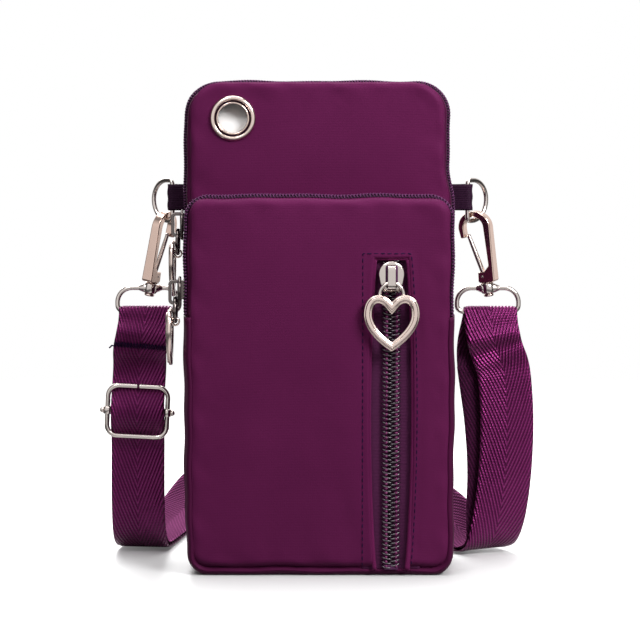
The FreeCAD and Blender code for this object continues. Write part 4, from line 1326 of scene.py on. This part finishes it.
class POUCH_OT_pocket(bpy.types.Operator):
    """The upright pocket zip: tapes, coils, stop, sewing and pocket bag"""

    bl_idname = "pouch.pocket"
    bl_label = "Pocket zip"

    def execute(self, context):
        self.zip_pieces()
        self.bag()
        self.sewing(context.scene.pouch.stitch / MM)
        self.welts()
        return {"FINISHED"}

    def zip_pieces(self):
        """Tapes, coils, the stop at their foot, and the sewing along the coils."""
        for name, left, right in (("left", -11.0, -0.6), ("right", 0.6, 11.0)):
            node = "pocket_zip_" + name + "_tape"
            x, z = np.meshgrid(
                np.linspace(POCKET_X + left, POCKET_X + right, 12), np.linspace(1.8, POCKET_HIGH + 5.0, 80)
            )
            y = FRONT_BACK + 0.05 * waves(x * 3, z * 2)
            sheet_piece(node + "_cloth", x, y, z, "tape", TAPE, [node])
        z = np.linspace(3.4, POCKET_HIGH - 0.6, 240)
        place = placed(POCKET_X, FRONT_BACK, z)
        loops = coil_chain(place, (0.0, -1.0, 0.0), (1.0, 0.0, 0.0), 1.72, 3.4, 1.7, 0.34, 7)
        solid_piece("pocket_zip_coil_loops", loops, "teeth", "pouch", ["pocket_zip_coils"])
        stop = slab(box_outline(POCKET_X - 2.6, POCKET_X + 2.6, 2.4, 4.4), FRONT_BACK - 1.6, FRONT_BACK)
        made = bevelled(mesh_object("pocket_zip_stop_metal", *stop), 0.4)
        finish_piece(made, "coil", "pouch", ["pocket_zip_stop"])
        rows = []
        for offset in (-1.75, 2.0):
            rows.append(dashes(placed(POCKET_X + offset, FRONT_BACK - 1.6, z), 1.0, 0.72, 0.5))
        made = mesh_object("pocket_zip_coil_sewing", *joined(rows))
        finish_piece(made, "pink_thread", "pouch")

    def bag(self):
        """Pocket bag: a sheet that hangs back from its edges, in the box of the bag's solid."""
        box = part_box("pocket_lining")
        low, high = [np.array(corner) / MM for corner in box]
        x, z = np.meshgrid(np.linspace(low[0], high[0], 24), np.linspace(low[2], high[2], 40))
        rim_x = np.minimum(x - low[0], high[0] - x)
        rim_z = np.minimum(z - low[2], high[2] - z)
        rim = np.minimum(rim_x, rim_z)
        y = low[1] + 0.8 + (high[1] - low[1] - 1.0) * np.clip(rim / 12, 0, 1) ** 0.5
        sheet_piece("pocket_bag_cloth", x, y, z, "tape", 0.4, ["pocket_lining"])

    def sewing(self, stitch):
        """Stitches down both sides of the window and over its top, on the front panel's cloth."""
        z = np.linspace(4.0, POCKET_HIGH + 2.4, 90)
        left = np.stack([np.full(len(z), POCKET_X - 10.7), z], 1)
        right = np.stack([POCKET_X + window_half(z) + 1.9, z], 1)
        line = resampled(np.concatenate([left, right[::-1]]), 1.0)
        face = on_surface("front_panel", line[:, 0], line[:, 1]) - 0.1
        stitches = dashes(placed(line[:, 0], face, line[:, 1]), stitch, 0.6, 0.2)
        made = mesh_object("pocket_sewing", *stitches)
        finish_piece(made, "thread", "pouch")

    def welts(self):
        """Folded edges of the window: flattened rolls of cloth along its two sides and over its top."""
        z = np.linspace(2.4, POCKET_HIGH, 90)
        parts = []
        for side, width in ((-1, 0.75), (1, 1.0)):
            x = POCKET_X + side * (window_half(z) + width * 0.6)
            parts.append(tube(placed(x, FRONT_FACE + 0.05, z), width, 12))
        end = window_half(POCKET_HIGH) + 0.6
        middle = FRONT_FACE + 0.1
        x = np.linspace(-end, end, 20) + POCKET_X
        parts.append(tube(placed(x, middle, POCKET_HIGH + 0.5), 0.8, 12))
        points, faces = joined(parts)
        points[:, 1] = middle + (points[:, 1] - middle) * 0.7
        # The rolls are real folded edges. Their lighter nylon finish is a painted highlight.
        solid_piece("pocket_welts", (points, faces), "highlit_welt", "pouch")


class POUCH_OT_linings(bpy.types.Operator):
    """Thin linings of the two compartments"""

    bl_idname = "pouch.linings"
    bl_label = "Linings"

    def execute(self, context):
        half, low, high = 47.0, 3.0, 181.0
        thickness = 0.3
        columns = eased(50, -1, 1)
        x, z = panel_grid((half, low, high, 5.0, 9.0), columns, eased(80, low, high))
        sag = bell(z, 178, 60) * (1 - np.abs(x / half) ** 4)
        bulge = np.exp(-(((x - EYELET[0]) / 16) ** 4) - ((z - EYELET[1]) / 16) ** 4)
        y = 16.7 - 9.0 * sag
        y = y - (y - 2.7 - 0.42 * np.clip(z - EYELET[1] + 3, 0, 12)) * bulge
        sheet_piece("main_lining_rear", x, y, z, "lining", thickness, ["main_lining"])
        high = 140.0
        x, z = panel_grid((half, low, high, 5.0, 5.0), columns, eased(60, low, high))
        y = -0.25 - 0.2 * waves(x, z + 9)
        sheet_piece("front_lining_sheet", x, y, z, "lining", thickness, ["front_lining"], 1.0)
        return {"FINISHED"}


class POUCH_OT_eyelet(bpy.types.Operator):
    """Metal eyelet and its washer"""

    bl_idname = "pouch.eyelet"
    bl_label = "Eyelet"

    def execute(self, context):
        place = (EYELET[0], 0.0, EYELET[1])
        axis = (0, 1, 0)
        wall = 0.2
        lip = [
            (5.5, 2.9), (5.5, 0.0), (5.53, -0.5), (5.66, -0.76), (5.88, -0.82), (6.12, -0.68), (6.26, -0.3),
            (6.26, 0.6),
        ]
        flange = [
            (6.85, 0.6), (6.85, -0.45), (6.96, -0.8), (7.25, -1.02), (7.75, -1.02), (8.25, -0.75),
            (8.58, -0.3), (8.66, 0.3),
        ]
        shape = joined([revolved(lip, place, axis, 72), revolved(flange, place, axis, 72)])
        solid_piece("eyelet_metal", shape, "metal", "pouch", ["eyelet"], wall=wall)
        # A dark ring in the ribbon finish in the groove between the lip and the flange: painted shade.
        shape = revolved([(6.15, 0.35), (6.3, 0.2), (6.8, 0.2), (6.95, 0.35)], place, axis, 72)
        solid_piece("eyelet_groove_shade", shape, "ribbon", "pouch", wall=wall)
        shape = revolved([(6.65, 2.3), (8.2, 2.3), (8.2, 2.9), (6.65, 2.9), (6.65, 2.3)], place, axis, 48)
        solid_piece("eyelet_washer_metal", shape, "metal", "pouch", ["eyelet_washer"], smooth=False)
        return {"FINISHED"}


class POUCH_OT_pulls(bpy.types.Operator):
    """Slider, ring and open heart on each of the three zips"""

    bl_idname = "pouch.pulls"
    bl_label = "Zip pulls"

    def execute(self, context):
        for name in ("pocket", "front", "main"):
            turn, place = pull_frame(name)
            # The side zips' sliders and rings take the darker silver: painted shade and painted dark
            # reflection.
            plating = "silver" if name == "pocket" else "shaded_silver"
            slider = name + "_slider"
            shape = moved(self.slider(), turn, place)
            solid_piece(slider + "_metal", shape, plating, slider, [slider], bevel=(0.25, 2))
            # A thin dark plate in the coil finish under the bridge: painted shade in the gap between bridge
            # and plate.
            slot_shade_outline = rounded_path(box_outline(-2.3, 2.3, 1.6, 10.3), 1.0, 0.5, closed=True)
            shape = moved(slab(slot_shade_outline, -3.16, -2.9), turn, place)
            finish_piece(mesh_object(slider + "_painted_slot_shade", *shape), "coil", slider)
            ring = name + "_ring"
            shape = moved(self.ring(), turn, place)
            finish_piece(mesh_object(ring + "_metal", *shape), plating, ring, [ring])
            heart = name + "_heart"
            solid_piece(heart + "_metal", moved(self.heart(), turn, place), "metal", heart, [heart])
        return {"FINISHED"}

    def slider(self):
        """Domed shield plate, bridge, web and inner plate."""
        angles = np.linspace(-0.18, math.pi + 0.18, 40)
        crown = np.stack([4.87 * np.cos(angles), 6.85 + 4.87 * np.sin(angles)], 1)
        foot = [(-4.3, 3.2), (-3.4, 0.4), (-2.8, 0.0), (2.8, 0.0), (3.4, 0.4), (4.3, 3.2)]
        outline = resampled(np.concatenate([crown, foot, crown[:1]]), 0.6)[:-1]
        middle = np.array([0.0, 6.2])
        dome = [(0.97, -1.8), (1.0, -2.1), (1.0, -2.5), (0.94, -2.9), (0.8, -3.05), (0.5, -3.1), (0.02, -3.1)]
        rings = []
        for share, depth in dome:
            flat = middle + (outline - middle) * share
            rings.append(placed(flat[:, 0], depth, flat[:, 1]))
        faces = grid_faces(len(rings), len(outline), False, True).tolist()
        faces.append(list(range(len(outline))))
        plate = np.concatenate(rings), faces
        web = slab(box_outline(-0.3, 0.3, 3.0, 10.2), -2.0, 1.0)
        inner = slab(box_outline(-2, 2, 0, 11.7), 0.9, 2.1)
        path = rounded_path([(1.7, -2.8), (1.7, -6.0), (9.8, -6.0), (9.8, -2.8)], 1.2, 0.4)
        edges = []
        for side, lift in ((-1.5, -0.6), (-1.5, 0.6), (1.5, 0.6), (1.5, -0.6)):
            flat = path + outward(path) * lift
            edges.append(placed(side, flat[:, 1], flat[:, 0]))
        bridge = np.stack(edges, 1), sleeve_faces(len(path), len(edges))
        return joined([plate, web, inner, bridge])

    def ring(self):
        """Round wire ring that hangs in the slider's bridge."""
        radius = 4.45
        angles = np.linspace(0, 2 * math.pi, 64, endpoint=False)
        circle = placed(radius * np.sin(angles), PULL_RING_Y, -0.8 + radius * np.cos(angles))
        return tube(circle, 0.75, 16, closed=True)

    def heart(self):
        """Heart-shaped band, with a raised flat between two lower rims, and a lug behind for the ring."""
        top = LUG_Z + 4.4
        tip = np.array([0.0, top - 20.9])
        notch = np.array([0.0, top - 2.3])
        wide = np.array([10.4, top - 7.0])
        flank = self.bezier(tip, tip + (4.5, 2.8), wide + (0.0, -6.0), wide, 34)
        lobe = self.bezier(wide, wide + (0.0, 8.4), notch + (3.4, 4.2), notch, 40)
        right = np.concatenate([flank[:-1], lobe])
        left = right[::-1][1:-1] * np.array([-1, 1])
        outline = np.concatenate([right, left])
        mitre = self.mitre(outline)
        section = [
            (0.0, 1.3), (0.04, 0.85), (0.16, 0.66), (0.3, 0.6), (0.54, 0.58), (0.58, 0.52), (0.8, 0.1),
            (0.86, 0.03), (1.0, 0.0), (1.4, -0.02), (1.9, 0.0), (2.06, 0.03), (2.12, 0.08), (2.28, 0.36),
            (2.34, 0.4), (2.8, 0.5), (3.0, 0.66), (3.12, 0.9), (3.15, 1.3), (3.0, 1.9), (2.7, 2.0),
            (0.5, 2.0), (0.15, 1.9),
        ]
        rings = []
        for inset, depth in section:
            flat = outline + mitre * inset
            rings.append(placed(flat[:, 0], -7.15 + depth, flat[:, 1]))
        band = np.stack(rings, 1), grid_faces(len(outline), len(section), True, True)
        profile = [(1.1, -1.4), (1.7, -1.4), (1.7, 1.4), (1.1, 1.4), (1.1, -1.4)]
        lug = revolved(profile, (0.0, PULL_RING_Y, LUG_Z), (1, 0, 0), 28)
        return joined([band, lug])

    def bezier(self, start, first, second, end, count):
        """Points on a cubic curve."""
        share = np.linspace(0, 1, count)[:, None]
        rest = 1 - share
        return rest**3 * start + 3 * rest**2 * share * first + 3 * rest * share**2 * second + share**3 * end

    def mitre(self, outline):
        """How far each point of a closed outline goes when its sides are drawn in by one."""
        back = unit(outline - np.roll(outline, 1, 0))
        ahead = unit(np.roll(outline, -1, 0) - outline)
        normal = unit(np.stack([-(back + ahead)[:, 1], (back + ahead)[:, 0]], 1))
        cosine = np.sum(normal * np.stack([-ahead[:, 1], ahead[:, 0]], 1), axis=1)
        return normal / np.clip(cosine, 0.35, 1)[:, None]


class POUCH_OT_hardware(bpy.types.Operator):
    """Tab, D-ring, snap hook, gate, pin, spring and strap loop on each side"""

    bl_idname = "pouch.hardware"
    bl_label = "Hooks and rings"

    def execute(self, context):
        for name, side in (("left", -1), ("right", 1)):
            self.tab(name, side)
            self.d_ring(name, side)
            self.hook(name, side)
            self.loop(name, side)
        return {"FINISHED"}

    def tab(self, name, side):
        """Ribbon folded round the ring's bar: a flat loop carried up, a little uneven at its edges."""
        turns = np.linspace(-math.pi / 2, math.pi / 2, 16)
        fold = np.array([BAR_X, BAR_Y]) + 1.6 * np.stack([np.cos(turns), np.sin(turns)], 1)
        front = [(49.4, 17.9), (52.0, 17.6)]
        rear = [(52.0, 18.9), (49.4, 18.6)]
        flat = resampled(np.concatenate([front, fold, rear]), 0.5)
        z = np.linspace(135.4, 145.4, 12)[:, None]
        wobble = 0.12 * np.sin(z * 1.3 + side)
        x = side * (flat[:, 0] + wobble * (flat[:, 0] > 54))
        shape = placed(x, flat[:, 1], z), grid_faces(len(z), len(flat))
        centre = (side * 53, 18.4, 140)
        strip_piece(name + "_tab_ribbon", shape, "ribbon", 0.7, centre, [name + "_tab"], 0.0)

    def d_ring(self, name, side):
        """Wire bent to a D, in a plane turned back from the pouch."""
        straight = 3.0
        turns = np.linspace(-math.pi / 2, math.pi / 2, 40)
        bow = np.stack([straight + RING_RADIUS * np.cos(turns), RING_RADIUS * np.sin(turns)], 1)
        corners = [(straight, RING_RADIUS), (0.0, RING_RADIUS), (0.0, -RING_RADIUS), (straight, -RING_RADIUS)]
        flat = np.concatenate([rounded_path(corners, 1.6, 0.5), bow[1:-1]])
        out = flat[:, 0] * math.sqrt(0.5)
        path = placed(side * (BAR_X + out), BAR_Y + out, RING_Z + flat[:, 1])
        shape = tube(path, RING_WIRE, 16, closed=True)
        solid_piece(name + "_d_ring_metal", shape, "silver", name + "_ring", [name + "_d_ring"])

    def hook(self, name, side):
        """Snap hook cut from plate with rounded edges, its post, gate, pin and spring."""
        turn, place = hook_frame(side)
        across = turn[:, 1]
        upward = turn[:, 2]
        body = name + "_hook"
        points, faces = slab(self.hook_outline(), -1.0, 1.0)
        points[:, 1] *= 2.25 - 0.0235 * (points[:, 2] - 2.5)
        shape = moved((points, faces), turn, place)
        solid_piece(name + "_hook_metal", shape, "rose", body, [name + "_hook"], bevel=(0.5, 3, 35))
        post = [
            (0.0, 2.6), (1.25, 2.6), (1.25, -2.2), (1.7, -2.2), (2.0, -2.5), (2.0, -2.95), (1.6, -3.25),
            (0.0, -3.3),
        ]
        shape = revolved(post, place, upward, 28)
        solid_piece(name + "_hook_post", shape, "metal", body, bevel=(0.15, 2))
        root = np.array([0.6, 0.0, 4.8])
        end = np.array([4.85, 0.0, 21.5])
        share = np.linspace(0, 1, 20)
        line = root + (end - root) * share[:, None]
        arm = tube(moved_points(line, turn, place), 0.95 - 0.2 * share**3, 14)
        pivot = moved_points(root, turn, place)
        hub = revolved([(0.65, -0.8), (1.5, -0.8), (1.5, 0.8), (0.65, 0.8)], pivot, across, 24)
        solid_piece(name + "_gate_metal", joined([arm, hub]), "silver", name + "_gate", [name + "_gate"])
        pin = [(0.0, -2.3), (0.45, -2.25), (0.6, -2.05), (0.6, 2.05), (0.45, 2.25), (0.0, 2.3)]
        shape = revolved(pin, pivot, across, 20)
        solid_piece(name + "_gate_pin_metal", shape, "silver", body, [name + "_gate_pin"])
        shape = moved(slab(box_outline(-2.6, -2.3, 3.2, 8.6), -0.8, 0.8), turn, place)
        solid_piece(name + "_gate_spring_leaf", shape, "silver", body, [name + "_gate_spring"], smooth=False)

    def hook_outline(self):
        """Outline of the hook's plate: up the back, round the bow to the nose, and back by the throat."""
        middle = (1.6, 23.9)
        outer = np.linspace(math.pi, 0, 40)
        inner = np.linspace(0, math.pi, 30)
        wide = np.where(outer > math.pi / 2, 7.1, 6.4)
        bow = np.stack([middle[0] + wide * np.cos(outer), middle[1] + 6.4 * np.sin(outer)], 1)
        throat = np.stack([middle[0] + 4.2 * np.cos(inner), middle[1] + 4.2 * np.sin(inner)], 1)
        back = [(-4.3, 2.9), (-4.8, 12.0)]
        nose = [(7.45, 20.3), (5.8, 20.3)]
        foot = [(-2.6, 8.8), (-0.4, 6.6), (2.2, 6.6), (2.6, 2.9), (1.8, 2.3), (-3.7, 2.3)]
        return np.concatenate([back, bow, nose, throat, foot])

    def loop(self, name, side):
        """Wire bent to a long rounded loop, with a turned collar on its upper run."""
        turn, place = hook_frame(side)
        half = 11.9
        corners = [(-half, 0.0), (half, 0.0), (half, -LOOP_DROP), (-half, -LOOP_DROP)]
        flat = rounded_path(corners, (5.6, 5.6, 2.6, 2.6), 0.5, closed=True)
        aside = 0.0 if side > 0 else -0.9
        path = place + placed(flat[:, 0] + aside, 0.0, flat[:, 1])
        collar = [(1.3, 2.0), (2.2, 2.0), (2.6, 1.6), (2.6, -1.6), (2.2, -2.0), (1.3, -2.0), (1.3, 2.0)]
        cone = [(1.9, 1.6), (1.9, 2.2), (1.55, 3.2), (1.15, 4.0), (0.95, 4.6)]
        parts = [tube(path, 0.95, 16, closed=True), revolved(collar, place, turn[:, 2], 32)]
        for way in (-1, 1):
            parts.append(revolved(cone, place, (way, 0, 0), 24))
        shape = joined(parts)
        solid_piece(name + "_swivel_loop_metal", shape, "silver", name + "_ring", [name + "_swivel_loop"])


class POUCH_OT_buckle(bpy.types.Operator):
    """Length buckle: bent wire frame and a loose bar with collars and knobs"""

    bl_idname = "pouch.buckle"
    bl_label = "Buckle"

    def execute(self, context):
        centre = np.array([-70.7, 16.5, 57.5])
        turn = np.array(Matrix.Rotation(math.radians(3.0), 3, "Y"))
        half, rise, gap = 11.6, 9.8, 0.2
        corners = [(gap, rise), (half, rise), (half, -rise), (-half, -rise), (-half, rise), (-gap, rise)]
        flat = rounded_path(corners, 4.2, 0.5)
        shape = moved(tube(placed(flat[:, 0], 0.0, flat[:, 1]), 0.95, 16), turn, centre)
        solid_piece("buckle_frame_metal", shape, "silver", "pouch", ["buckle_frame"])
        collar = [(1.0, -1.5), (1.35, -1.5), (1.6, -1.2), (1.6, 1.2), (1.35, 1.5), (1.0, 1.5), (1.0, -1.5)]
        knob = [(0.0, 2.95), (0.6, 2.85), (1.05, 2.45), (1.2, 1.95), (1.05, 1.5), (0.7, 1.3)]
        parts = [tube(placed(np.linspace(-10.2, 10.2, 12), 0.0, 0.0), 1.0, 16)]
        for way in (-1, 1):
            end = (way * half, 0.0, 0.0)
            parts.append(revolved(collar, end, (0, 0, 1), 24))
            parts.append(revolved(knob, end, (way, 0, 0), 24))
        shape = moved(joined(parts), turn, centre)
        solid_piece("buckle_bar_metal", shape, "silver", "buckle_bar", ["buckle_bar"])
        return {"FINISHED"}


class POUCH_PT_panel(bpy.types.Panel):
    """Sidebar panel with the pouch's settings"""

    bl_label = "Phone pouch"
    bl_idname = "POUCH_PT_panel"
    bl_space_type = "VIEW_3D"
    bl_region_type = "UI"
    bl_category = "Pouch"

    def draw(self, context):
        for key in ("stitch", "pillow", "lens", "light"):
            self.layout.prop(context.scene.pouch, key)
        for operator in OPERATORS:
            self.layout.operator(operator.bl_idname)


OPERATORS = (
    POUCH_OT_stage,
    POUCH_OT_strap,
    POUCH_OT_panels,
    POUCH_OT_gussets,
    POUCH_OT_arched_zips,
    POUCH_OT_pocket,
    POUCH_OT_linings,
    POUCH_OT_eyelet,
    POUCH_OT_pulls,
    POUCH_OT_hardware,
    POUCH_OT_buckle,
)
CLASSES = (PouchSettings,) + OPERATORS + (POUCH_PT_panel,)


def register():
    for each in CLASSES:
        bpy.utils.register_class(each)
    bpy.types.Scene.pouch = bpy.props.PointerProperty(type=PouchSettings)


def unregister():
    del bpy.types.Scene.pouch
    for each in reversed(CLASSES):
        bpy.utils.unregister_class(each)


def main():
    """Builds every piece in order."""
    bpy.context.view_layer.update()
    register()
    for operator in OPERATORS:
        group, name = operator.bl_idname.split(".")
        getattr(getattr(bpy.ops, group), name)()
    bpy.context.view_layer.update()


if __name__ == "__main__":
    main()
